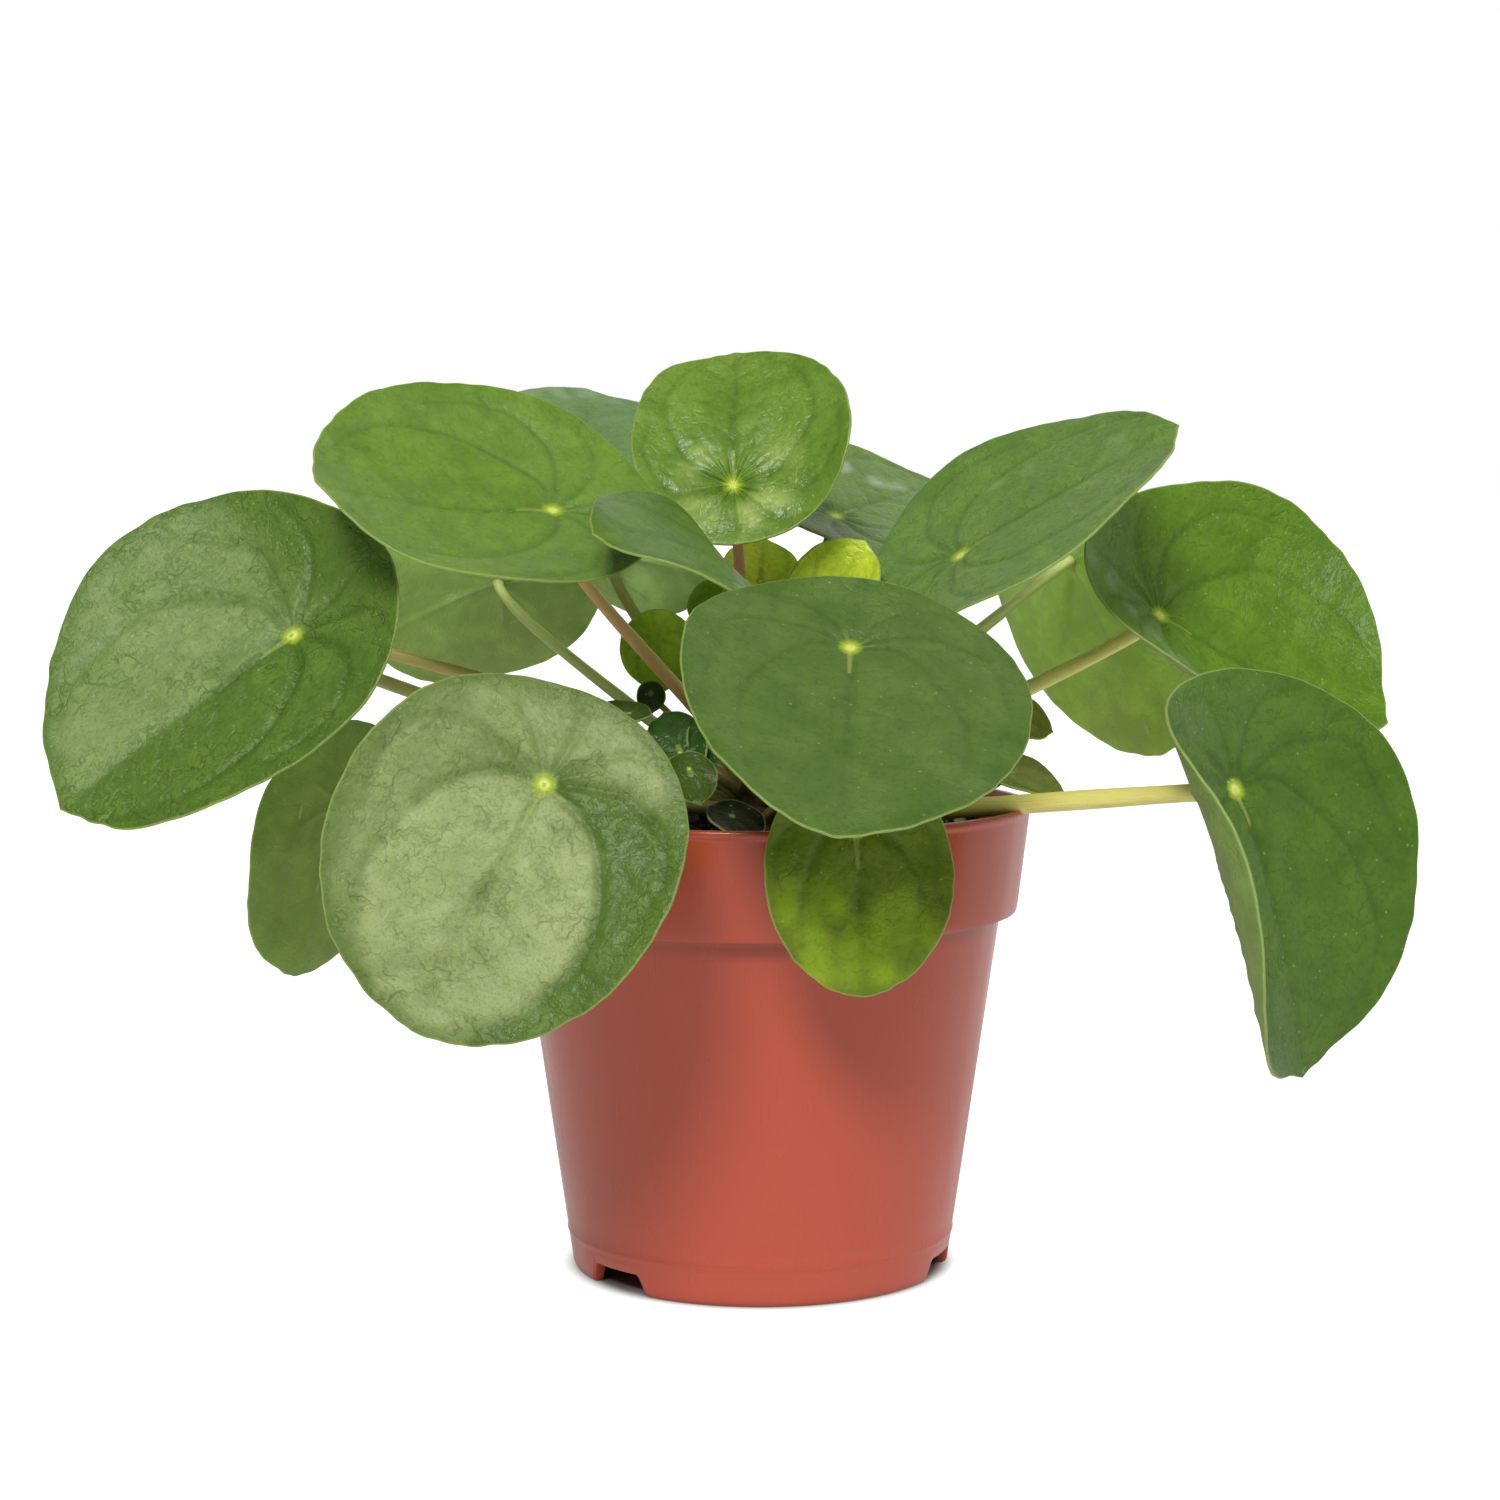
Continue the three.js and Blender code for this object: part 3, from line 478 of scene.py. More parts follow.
def vein_lines(row, draw):
    """Main and side veins of one blade as lines on the flat blade, in metres."""
    ahead = row["length"] * (1 - row["heel"])
    behind = row["length"] * row["heel"]
    half = 0.5 * row["width"]

    def placed(points, mirror=1):
        line = rounded(points, 5) * (mirror, 1)
        side = np.where(line[:, 0] >= 0, 1 + row["lop"], 1 - row["lop"])
        reach = np.where(line[:, 1] >= 0, ahead, behind)
        return np.stack([line[:, 0] * half * side, line[:, 1] * reach], 1)

    main = [placed(points) for points in MIDRIB]
    side = []
    for mirror in (-1, 1):
        for points in LATERAL_VEINS:
            bent = [(x * draw.uniform(0.94, 1.06), y + draw.uniform(-0.03, 0.03) * (x > 0))
                    for x, y in points]
            main.append(placed(bent, mirror))
        for start in SIDE_VEIN_STARTS:
            y = start + draw.uniform(-0.03, 0.03)
            points = [(0, y), (0.14, y + 0.07), (0.34, y + 0.12), (0.56, y + 0.10)]
            side.append(placed(points, mirror))
        for k in range(OUTER_VEINS):
            y = -0.15 + 0.17 * k + draw.uniform(-0.03, 0.03)
            x = 0.62 - 0.25 * max(0, y - 0.5)
            side.append(placed([(x, y), (x + 0.14, y + 0.05), (0.93, y + 0.07)], mirror))
    return main, side


def vein_distance(x, y, lines):
    """Distance from each point to the nearest line, and how far along that line it is, 0 to 1."""
    best = np.full(x.shape, 1.0)
    share = np.zeros(x.shape)
    for line in lines:
        for k, (a, b) in enumerate(zip(line, line[1:])):
            step = b - a
            u = ((x - a[0]) * step[0] + (y - a[1]) * step[1]) / max(step @ step, 1e-12)
            u = np.clip(u, 0, 1)
            away = np.hypot(x - a[0] - u * step[0], y - a[1] - u * step[1])
            nearer = away < best
            best = np.where(nearer, away, best)
            share = np.where(nearer, (k + u) / (len(line) - 1), share)
    return best, share


def step_up(value, low, high):
    """0 up to low, 1 from high on and a smooth step between them."""
    share = np.clip((value - low) / (high - low), 0, 1)
    return share * share * (3 - 2 * share)


def wax(row, x, y, margin, key):
    """The share of pale paint, partly a waxy coat and partly painted sheen, by the strips that the midrib
    and the two laterals divide the blade into, raised by the patches of painted highlight.
    """
    left_outer, left_inner, right_inner, right_outer, heel = row["bloom_and_sheen"]
    ahead = row["length"] * (1 - row["heel"])
    lateral = np.interp(y / ahead, [v for _, v in MAIN_LATERAL], [u for u, _ in MAIN_LATERAL])
    across = x / (0.5 * row["width"] * np.where(x >= 0, 1 + row["lop"], 1 - row["lop"]))

    def past(place):
        return step_up(across - place, -STRIP_EDGE, STRIP_EDGE)

    share = (left_outer + (left_inner - left_outer) * past(-lateral)
             + (right_inner - left_inner) * past(0) + (right_outer - right_inner) * past(lateral))
    behind = step_up(-y, 0, 0.5 * row["length"] * row["heel"])
    share = share + (heel - share) * behind
    ragged = smooth_noise(x, y, 5 * MM, key + 3)
    share *= 0.35 + 0.65 * step_up(margin, 0, (3 + 7 * ragged) * MM)
    # Patches of painted highlight and painted reflection, with ragged edges
    for across_mm, along_mm, radius_mm, strength in row["painted_shine"]:
        away = np.hypot(x - across_mm * MM, y - along_mm * MM) / (radius_mm * MM)
        share = np.maximum(share, strength * step_up(1.6 - away - ragged, 0, 1))
    return share


def blade_relief(row, x, y, margin, main, side, key):
    """How far the top face rises: sunken veins, puckers and crinkles, and folds round the hub."""
    main_away, main_share = vein_distance(x, y, main)
    side_away, side_share = vein_distance(x, y, side)
    radius = np.hypot(x, y)
    angle = np.arctan2(x, y)
    quilt = row["quilt"]
    bloom_and_sheen = wax(row, x, y, margin, key)
    away_from_hub = np.clip(radius / (6 * MM), 0, 1)
    main_depth = 1.7 * (1 - 0.6 * main_share) * np.clip(radius / (3 * MM), 0, 1)
    groove = main_depth * np.exp(-(main_away / (1.2 * MM)) ** 2)
    groove += 0.5 * (1 - 0.5 * side_share) * away_from_hub * np.exp(-(side_away / (0.9 * MM)) ** 2)
    pucker = creases(x, y, PUCKER, key)
    crinkle = creases(x, y, CRINKLE, key + 2)
    broad = smooth_noise(x, y, 13 * MM, key + 5) - 0.5
    swell = smooth_noise(x, y, 6 * MM, key + 6) - 0.5
    patch = 0.35 + 0.65 * step_up(smooth_noise(x, y, 10 * MM, key + 4), 0.3, 0.7)
    rough = (0.35 + 0.65 * bloom_and_sheen) * patch
    height = quilt * (away_from_hub * rough * (0.55 * pucker + 0.32 * crinkle) - groove)
    height += away_from_hub * (0.35 * broad + 0.30 * swell) * MM
    near = np.exp(-radius / (8 * MM)) * np.clip(radius / (2.5 * MM), 0, 1)
    fans = np.sin(9 * angle + key) + 0.7 * np.sin(17 * angle + 2 * key) + 0.5 * np.sin(29 * angle)
    height += row["rays"] * near * fans
    # How sunken each place is; the material paints these places darker, as painted shade.
    hollow = np.clip(patch * (0.35 * (1 - pucker) + 0.25 * (1 - crinkle)) + 0.4 * groove, 0, 1)
    # The pale share is partly a waxy coat and partly painted sheen.
    return height, {
        "veins": np.stack([main_away + 0.6 * MM * main_share, side_away + 0.4 * MM * side_share,
                           radius / row["spot"]], 1),
        "wax": bloom_and_sheen * (1 - 0.3 * hollow) * (0.98 + 0.42 * broad + 0.3 * swell),
        "hollow": hollow * away_from_hub,
        "rib": np.hypot(x, y - np.clip(y, 0, RIB_LENGTH * row["spot"])) + 0.03 * np.maximum(y, 0),
    }


def blade_mesh(row, sectors, rings, thickness, key):
    """Points, faces and surface values of one blade with a rounded margin."""
    axes = blade_axes(row)
    t = circle(sectors)
    margin_across, margin_along = blade_flat(row, t, np.ones(sectors))
    reach = np.hypot(margin_across, margin_along)
    edge = 0.6 * thickness
    main, side = vein_lines(row, random.Random(key))
    points = []
    values = {name: [] for name in ("flat", "margin", "under", "veins", "wax", "hollow", "rib")}

    def shares(count):
        """Shares of the way out and the roundness of the edge, ring by ring from the hub."""
        inside = [((k / count) * (1 - edge / reach), 1.0) for k in range(1, count + 1)]
        return inside + [(1 - edge / reach * (1 - math.sin(a)), math.cos(a)) for a in EDGE_ANGLES]

    def add(s, roundness, under):
        x, y = blade_flat(row, t, s)
        relief, found = blade_relief(row, x, y, (1 - s) * reach, main, side, key)
        calm = np.clip((1 - s) * reach / (2.5 * MM), 0, 1)
        if under:
            ridge = 0.22 * MM * np.exp(-(found["veins"][:, 0] / (0.7 * MM)) ** 2)
            lift = (0.7 * relief - ridge) * calm - 0.5 * thickness * (1 + roundness)
        else:
            lift = relief * calm - 0.5 * thickness * (1 - roundness)
        points.append(blade_surface(row, axes, t, s) + blade_normals(row, axes, t, s) * lift[:, None])
        found["flat"] = np.stack([x, y, np.full(len(x), key * 0.11)], 1)
        found["margin"] = (1 - s) * reach
        found["under"] = np.full(len(x), float(under))
        for name, value in found.items():
            values[name].append(value)

    for s, roundness in shares(rings):
        add(s, roundness, False)
    add(np.ones(sectors), 0.0, False)
    for s, roundness in reversed(shares(max(6, rings // 3))):
        add(s, roundness, True)

    # The two middle points, at the hub of the top face and of the underside
    tip = row["hub"] - axes[2] * row["dimple"]
    for value in values.values():
        value += [value[0][:1] * 0] * 2
    values["under"][-1] = np.ones(1)
    values["margin"][-2] = values["margin"][-1] = reach[:1]
    points, faces = ring_body(points, tip, tip - axes[2] * thickness, inside_out=True)
    return points, faces, {name: np.concatenate(value) for name, value in values.items()}


# Stalks
def stalk_foot(stalk):
    """Where a stalk starts, inside the stem."""
    return heading(stalk.turn) * STALK_START + np.array([0, 0, stalk.height * MM])


def stalk_curve(foot, row, gap, bow, steps):
    """Points along the stalk, from inside the stem to the underside of the hub."""
    out = blade_axes(row)[2]
    tip = row["hub"] - out * (row["dimple"] + gap)
    span = np.linalg.norm(tip - foot)
    first = foot + 0.35 * (tip - foot) + np.array([0, 0, bow])
    second = tip - out * min(14 * MM, 0.3 * span) + np.array([0, 0, row["stalk"].lift * MM])
    u = np.linspace(0, 1, steps + 1)[:, None]
    return (1 - u) ** 3 * foot + 3 * (1 - u) ** 2 * u * first + 3 * (1 - u) * u ** 2 * second + u ** 3 * tip


def tube_mesh(line, radii, sides, groove):
    """A tube along a line, grooved above. run is how far along a point is, lit how far it faces up."""
    tangents = np.gradient(line, axis=0)
    tangents /= np.linalg.norm(tangents, axis=1, keepdims=True)
    up = np.array([0, 0, 1.0])
    if abs(tangents[0] @ up) > 0.9:
        up = np.array([0, -1.0, 0])
    rings = []
    angles = circle(sides)
    hollow = 1 - groove * np.exp(-(np.minimum(angles, 2 * math.pi - angles) / 0.5) ** 2)
    for place, tangent, radius in zip(line, tangents, radii):
        up = up - tangent * (up @ tangent)
        up /= np.linalg.norm(up)
        side = np.cross(tangent, up)
        around = np.cos(angles)[:, None] * up + np.sin(angles)[:, None] * side
        rings.append(place + radius * hollow[:, None] * around)
    run = np.repeat(np.linspace(0, 1, len(line)), sides)
    lit = np.tile(0.5 + 0.5 * np.cos(angles), len(line))
    values = {"run": np.concatenate([run, [0, 1]]), "lit": np.concatenate([lit, [0.5, 0.5]])}
    return *ring_body(rings, line[0], line[-1]), values


def stalk_mesh(row, foot, thickness, steps, sides):
    """A tapered stalk that widens at its foot and just under the blade."""
    stalk = row["stalk"]
    line = stalk_curve(foot, row, STALK_GAP * thickness, stalk.bow * MM, steps)
    share = np.linspace(0, 1, steps + 1)
    length = np.linalg.norm(line[-1] - line[0])
    radii = stalk.foot + (stalk.tip - stalk.foot) * share
    radii += 0.25 * stalk.foot * np.exp(-share * length / (7 * MM))
    radii += 0.3 * stalk.tip * np.exp(-(1 - share) * length / (1.6 * MM))
    radii *= 1 + 0.03 * np.sin(share * 17 + row["length"] / MM)
    return tube_mesh(line, radii * MM, sides, STALK_GROOVE)


# Objects
def new_object(name, data):
    """An object in the scene for a mesh, a lamp or a camera."""
    item = bpy.data.objects.new(name, data)
    bpy.context.scene.collection.objects.link(item)
    return item


def add_object(name, parts, materials):
    """One object from (points, faces, values) parts, each with the material of its place in the list."""
    points = np.concatenate([p for p, _, _ in parts])
    faces = []
    index = []
    start = 0
    for k, (part_points, part_faces, _) in enumerate(parts):
        faces += [tuple(v + start for v in face) for face in part_faces]
        index += [min(k, len(materials) - 1)] * len(part_faces)
        start += len(part_points)
    mesh = bpy.data.meshes.new(name)
    mesh.from_pydata(points.tolist(), [], faces)
    mesh.polygons.foreach_set("use_smooth", [True] * len(faces))
    mesh.polygons.foreach_set("material_index", index)
    for material in materials:
        mesh.materials.append(material)
    for value_name in sorted({n for _, _, values in parts for n in values}):
        rows = []
        for part_points, _, values in parts:
            shape = (len(part_points), 3) if value_name in ("flat", "veins") else len(part_points)
            rows.append(values.get(value_name, np.zeros(shape)))
        data = np.concatenate(rows)
        kind = "FLOAT_VECTOR" if data.ndim == 2 else "FLOAT"
        attribute = mesh.attributes.new(value_name, kind, "POINT")
        attribute.data.foreach_set("vector" if data.ndim == 2 else "value", data.astype(np.float32).ravel())
    mesh.validate()
    mesh.update()
    return new_object(name, mesh)


def seat(item, node):
    """The piece rides with the plant and stands for its CAD node, which is hidden."""
    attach(item, ROOT)
    if node:
        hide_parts(node)


# Shader building
class Nodes:
    """Short ways to add nodes to a material or to the world."""

    def __init__(self, owner):
        owner.use_nodes = True
        self.owner = owner
        self.tree = owner.node_tree

    def put(self, socket, value):
        if isinstance(value, bpy.types.NodeSocket):
            self.tree.links.new(value, socket)
        else:
            socket.default_value = value

    def node(self, kind, inputs=(), **settings):
        made = self.tree.nodes.new(kind)
        for name, value in settings.items():
            setattr(made, name, value)
        for name, value in dict(inputs).items():
            self.put(made.inputs[name], value)
        return made

    def finish(self, **inputs):
        """Sets the Principled shader's inputs, with spaces written as underscores."""
        for name, value in inputs.items():
            self.put(self.tree.nodes["Principled BSDF"].inputs[name.replace("_", " ")], value)
        return self.owner

    def object_place(self):
        return self.node("ShaderNodeTexCoord").outputs["Object"]

    def camera_ray(self):
        return self.node("ShaderNodeLightPath").outputs["Is Camera Ray"]

    def value(self, name):
        return self.node("ShaderNodeAttribute", attribute_name=name).outputs["Fac"]

    def vector(self, name):
        return self.node("ShaderNodeAttribute", attribute_name=name).outputs["Vector"]

    def part(self, vector, axis):
        return self.node("ShaderNodeSeparateXYZ", {"Vector": vector}).outputs[axis]

    def op(self, kind, a, b=0.0):
        return self.node("ShaderNodeMath", {0: a, 1: b}, operation=kind).outputs[0]

    def times(self, a, b):
        return self.op("MULTIPLY", a, b)

    def ramp(self, value, low, high, start=0.0, end=1.0):
        inputs = {"Value": value, "From Min": low, "From Max": high, "To Min": start, "To Max": end}
        return self.node("ShaderNodeMapRange", inputs, interpolation_type="SMOOTHSTEP").outputs["Result"]

    def noise(self, vector, scale, detail=3.0, rough=0.55):
        inputs = {"Vector": vector, "Scale": scale, "Detail": detail, "Roughness": rough}
        return self.node("ShaderNodeTexNoise", inputs).outputs["Fac"]

    def dots(self, vector, scale):
        return self.node("ShaderNodeTexVoronoi", {"Vector": vector, "Scale": scale}).outputs["Distance"]

    def folds(self, vector, scale):
        """Thin winding lines, 1 in the middle of each."""
        away = self.op("ABSOLUTE", self.op("SUBTRACT", self.noise(vector, scale), 0.5))
        return self.ramp(away, 0.0, 0.03, 1.0, 0.0)

    def mix(self, share, a, b):
        """Blends two colours, each from a node or given in display values."""
        a, b = (color if isinstance(color, bpy.types.NodeSocket) else srgb(*color) for color in (a, b))
        made = self.node("ShaderNodeMix", {"Factor": share, "A": a, "B": b}, data_type="RGBA")
        return made.outputs["Result"]

    def cover(self, color, layers):
        """A colour under layers, each given as the share that it hides and its own colour."""
        for share, paint in layers:
            color = self.mix(share, color, paint)
        return color

    def bump(self, height, strength, distance):
        inputs = {"Height": height, "Strength": strength, "Distance": distance}
        return self.node("ShaderNodeBump", inputs).outputs["Normal"]

    def stretch(self, vector, scale):
        return self.node("ShaderNodeMapping", {"Vector": vector, "Scale": scale}).outputs["Vector"]


# Materials
def new_material(name):
    return Nodes(bpy.data.materials.new(name))


def tinted(color, factor):
    """A display colour made lighter or darker."""
    return tuple(min(255, c * f) for c, f in zip(color, factor))


def blade_material(name, row):
    """A veined leaf: green and glossy above, paler and matt below."""
    light = tinted(row["color"], (1.16, 1.12, 1.14))
    dark = tinted(row["color"], (0.62, 0.70, 0.62))
    shader = new_material(name)
    flat = shader.vector("flat")
    veins = shader.vector("veins")
    main_away, side_away, hub_away = [shader.part(veins, axis) for axis in "XYZ"]
    under = shader.value("under")
    wax_and_sheen_share = shader.value("wax")
    blotch = shader.noise(flat, 110, 3, 0.6)
    speckle = shader.noise(flat, 900, 2, 0.6)
    soft = shader.noise(flat, 260, 2, 0.6)
    folds = shader.op("MAXIMUM", shader.folds(flat, 130), shader.times(shader.folds(flat, 340), 0.6))
    folds = shader.times(folds, shader.ramp(blotch, 0.40, 0.62, 0.15, 1.0))
    rim = shader.ramp(shader.value("margin"), 0.10 * MM, 0.42 * MM, 0.8, 0.0)
    # The pale colour of the waxy coat and of the painted sheen, highlights and reflections
    pale = shader.mix(shader.ramp(soft, 0.3, 0.7), tinted(row["sheen"], (0.95, 0.96, 0.93)), row["sheen"])
    above = shader.cover(row["color"], (
        (shader.ramp(blotch, 0.36, 0.66), light),
        # Painted shade in the sunken puckers and vein grooves
        (shader.times(shader.value("hollow"), 0.32), dark),
        (shader.ramp(soft, 0.42, 0.30, 0.0, 0.22), dark),
        (shader.ramp(side_away, 0.1 * MM, 0.9 * MM, row["veined"] * 0.45, 0.0), dark),
        (shader.ramp(main_away, 0.2 * MM, 1.3 * MM, row["veined"], 0.0), dark),
        # Pale waxy coat with painted sheen, painted highlights and painted reflections
        (shader.times(wax_and_sheen_share, 0.9), pale),
        # Painted shade in the fine creases
        (shader.times(folds, 0.5 * row["grain"]), dark),
        (shader.ramp(speckle, 0.50, 0.28, 0.0, 0.25), dark),
        (shader.ramp(speckle, 0.50, 0.74, 0.0, 0.30), light),
        (shader.ramp(shader.dots(flat, 300), 0.05, 0.11, 0.40, 0.0), (166, 182, 124)),
        (shader.ramp(shader.value("rib"), 0.35 * MM, 0.9 * MM, 0.55, 0.0), (158, 174, 88)),
        (shader.ramp(hub_away, 1.4 * MM, 2.9 * MM, 0.9, 0.0), (160, 184, 48)),
        (shader.ramp(hub_away, 0.5 * MM, 1.6 * MM, 1.0, 0.0), (222, 226, 116)),
        (rim, (146, 162, 84)),
    ))
    low_vein = (150, 166, 112)
    low_dots = shader.dots(shader.stretch(flat, (1, 0.3, 1)), 210)
    below = shader.cover(tinted(row["under"], (0.93, 0.94, 0.92)), (
        (shader.ramp(blotch, 0.35, 0.7), tinted(row["under"], (1.06, 1.05, 1.06))),
        (shader.ramp(main_away, 0.2 * MM, 0.9 * MM, 0.4, 0.0), low_vein),
        (shader.ramp(side_away, 0.2 * MM, 0.7 * MM, 0.2, 0.0), low_vein),
        (shader.ramp(low_dots, 0.06, 0.14, 0.5, 0.0), (196, 208, 172)),
        (rim, (150, 170, 100)),
    ))
    height = shader.op("ADD", soft, shader.times(speckle, 0.6))
    height = shader.op("SUBTRACT", height, shader.times(folds, 0.5))
    rough = shader.ramp(blotch, 0.3, 0.7, row["rough"] - 0.04, row["rough"] + 0.06)
    dull = shader.op("MAXIMUM", shader.times(under, 0.2), shader.times(wax_and_sheen_share, 0.12))
    return shader.finish(
        Base_Color=shader.mix(under, above, below), Roughness=shader.op("ADD", rough, dull),
        Normal=shader.bump(height, row["grain"], 0.7 * MM), IOR=1.42, Specular_IOR_Level=0.32,
        Subsurface_Weight=0.3, Subsurface_Radius=(0.6, 1.0, 0.25), Subsurface_Scale=1.2 * MM,
    )


def stalk_material(name, upper, lower):
    """A fleshy stalk: one colour on its upper side, another below, with lengthwise streaks and painted
    shade towards its foot.
    """
    shader = new_material(name)
    run = shader.value("run")
    lit = shader.value("lit")
    place = shader.object_place()
    along = shader.node("ShaderNodeCombineXYZ", {"X": shader.times(run, 6.0), "Y": shader.times(lit, 9.0)})
    streak = shader.noise(along.outputs["Vector"], 2.2, 4, 0.6)
    color = shader.cover(lower, (
        (shader.ramp(lit, 0.25, 0.75), upper),
        (shader.ramp(streak, 0.35, 0.7, 0.0, 0.35), tinted(lower, (0.72, 0.72, 0.72))),
        # Painted shade towards the foot, which lies deep under the leaves
        (shader.ramp(run, 0.0, 0.22, 0.6, 0.0), (62, 44, 28)),
        (shader.ramp(run, 0.9, 1.0, 0.0, 0.4), (150, 160, 80)),
        (shader.ramp(shader.dots(place, 700), 0.06, 0.2, 0.4, 0.0), (206, 196, 140)),
    ))
    height = shader.op("ADD", streak, shader.times(shader.noise(place, 900, 2), 0.4))
    return shader.finish(
        Base_Color=color, Roughness=shader.ramp(streak, 0.3, 0.7, 0.34, 0.5),
        Normal=shader.bump(height, 0.25, 0.3 * MM), IOR=1.45,
        Subsurface_Weight=0.25, Subsurface_Radius=(1.0, 0.8, 0.3), Subsurface_Scale=1 * MM,
    )


def pot_material():
    """Smooth moulded terracotta-coloured plastic with a fine grain and scuffs, and painted shade just under
    the collar's step.
    """
    shader = new_material("pot_plastic")
    place = shader.object_place()
    height = shader.part(place, "Z")
    line = shader.noise(shader.stretch(place, (120, 120, 3)), 1.0, 2, 0.5)
    grain = shader.noise(place, 1600, 2, 0.5)
    scuff = shader.ramp(shader.noise(shader.stretch(place, (60, 60, 420)), 1.0, 4, 0.7), 0.70, 0.78)
    # Painted shade: the plastic is darkened just under the collar's step, where the collar shades it
    below = shader.ramp(height, COLLAR_FOOT_Z - 5 * MM, COLLAR_FOOT_Z, 0.0, 0.45)
    painted_crease_shade = shader.times(below, shader.ramp(height, COLLAR_FOOT_Z, COLLAR_FOOT_Z + 0.8 * MM, 1.0, 0.0))
    color = shader.cover((185, 77, 52), (
        (shader.ramp(grain, 0.45, 0.8, 0.0, 0.12), (198, 102, 80)),
        (shader.times(scuff, 0.10), (206, 146, 126)),
        (painted_crease_shade, (96, 40, 30)),
    ))
    return shader.finish(
        Base_Color=color, Roughness=shader.ramp(line, 0.3, 0.7, 0.25, 0.33),
        Normal=shader.bump(grain, 0.03, 0.1 * MM), IOR=1.5,
    )


def soil_material(name, body, light):
    """Matt crumbly peat with a few lighter grains."""
    shader = new_material(name)
    place = shader.object_place()
    clod = shader.noise(place, 330, 5, 0.65)
    grain = shader.noise(place, 1900, 3, 0.6)
    color = shader.cover(body, (
        (shader.ramp(clod, 0.35, 0.7), light),
        (shader.ramp(grain, 0.6, 0.8, 0.0, 0.5), (74, 54, 40)),
    ))
    height = shader.op("ADD", clod, shader.times(grain, 0.5))
    return shader.finish(Base_Color=color, Roughness=shader.ramp(clod, 0.3, 0.7, 0.75, 0.95),
                         Specular_IOR_Level=0.2, Normal=shader.bump(height, 0.8, 0.8 * MM))


def bark_material():
    """Flaking brown bark that turns green towards the tip."""
    shader = new_material("woody_stem")
    place = shader.object_place()
    flake = shader.noise(shader.stretch(place, (400, 400, 900)), 1.0, 4, 0.65)
    green = shader.ramp(shader.part(place, "Z"), 104 * MM, 113 * MM)
    color = shader.cover((52, 36, 24), (
        (shader.ramp(flake, 0.3, 0.7), (98, 74, 48)),
        (shader.times(green, 0.7), (110, 116, 52)),
    ))
    return shader.finish(Base_Color=color, Roughness=shader.ramp(flake, 0.3, 0.7, 0.65, 0.85),
                         Normal=shader.bump(flake, 0.8, 0.8 * MM))


# Pot
def pot_outline():
    """The pot's cross section as radius and height, from the pad round the outside to its floor."""
    foot = BASE_RADIUS - FOOT_WIDTH
    line_z = PARTING_LINE_Z
    collar = COLLAR_FOOT_RADIUS
    shelf = COLLAR_FOOT_Z
    neck = RIM_RADIUS - LIP_STEP
    lip_z = POT_HEIGHT - LIP_HEIGHT
    slope = (neck - collar) / (lip_z - shelf)
    soft = LIP_ROUNDING

    def near(radius, z, *steps):
        """Points given as millimetres out and up from a corner."""
        return [(radius + out * MM, z + up * MM) for out, up in steps]

    def wall(z):
        share = (z - 1.2 * MM) / (shelf - 1.2 * MM)
        return BASE_RADIUS + (SHOULDER_RADIUS - BASE_RADIUS) * share

    return [
        *near(PAD_RADIUS, 0, (-0.5, 0), (0, 0.4)),
        *near(PAD_RADIUS, FLOOR_UNDERSIDE_Z, (0.8, -0.4), (1.4, 0)),
        *near(foot, FLOOR_UNDERSIDE_Z, (0.2, 0), (0.7, -0.5)),
        *near(foot, 0, (0, 0.3), (0.3, 0)),
        *near(BASE_RADIUS, 0, (-1.2, 0), (-0.4, 0.35), (0, 1.2)),
        *[(wall(z), z) for z in (3 * MM, 5 * MM, 7 * MM, line_z - 0.35 * MM)],
        (wall(line_z) + 0.22 * MM, line_z),
        (wall(line_z + 0.3 * MM), line_z + 0.35 * MM),
        *[(wall(z), z) for z in np.linspace(12 * MM, shelf - 1.6 * MM, 14)],
        *near(SHOULDER_RADIUS, shelf, (0, -0.9), (0.5, -0.15), (1.2, 0)),
        *near(collar, shelf, (-0.7, 0), (-0.15, 0.2), (0.05, 0.8)),
        *[(collar + slope * (z - shelf), z) for z in np.linspace(82 * MM, 100.6 * MM, 8)],
        *near(neck, lip_z, (-0.05, -0.15)),
        *near(RIM_RADIUS, lip_z, (-soft, 0.05), (0, soft)),
        *near(RIM_RADIUS, POT_HEIGHT, (0, -soft), (-soft, 0)),
        *near(neck - WALL, POT_HEIGHT, (soft, 0), (0, -soft)),
        *[(collar - WALL + slope * (z - shelf), z) for z in (98 * MM, 92 * MM, 86 * MM)],
        (collar - WALL, shelf + WALL),
        (SHOULDER_RADIUS - WALL, shelf + WALL / 2),
        (wall(40 * MM) - WALL, 40 * MM),
        (BASE_RADIUS - 0.5 * MM, FLOOR_TOP_Z),
    ]


def make_pot():
    """The pot as a turned body whose foot rises over the three notches, with its drain holes cut."""
    columns = circle(POT_COLUMNS)
    wide = NOTCH_WIDTH / 2 / BASE_RADIUS
    narrow = NOTCH_TOP_WIDTH / 2 / BASE_RADIUS
    lifted = np.zeros(POT_COLUMNS)
    for turn in NOTCH_TURNS:
        away = np.abs((columns - math.radians(turn) + math.pi) % (2 * math.pi) - math.pi)
        lifted = np.maximum(lifted, NOTCH_HEIGHT * np.clip((wide - away) / (wide - narrow), 0, 1))
    rings = []
    for radius, z in pot_outline():
        in_foot = radius > PAD_RADIUS + 3 * MM and z < NOTCH_HEIGHT
        rings.append(ring(radius, columns, np.maximum(z, lifted) if in_foot else z))
    body = ring_body(rings, (0, 0, 0), (0, 0, FLOOR_TOP_Z))
    pot = add_object("plastic_pot", [(*body, {})], [pot_material()])
    cut_drains(pot)
    seat(pot, "pot")


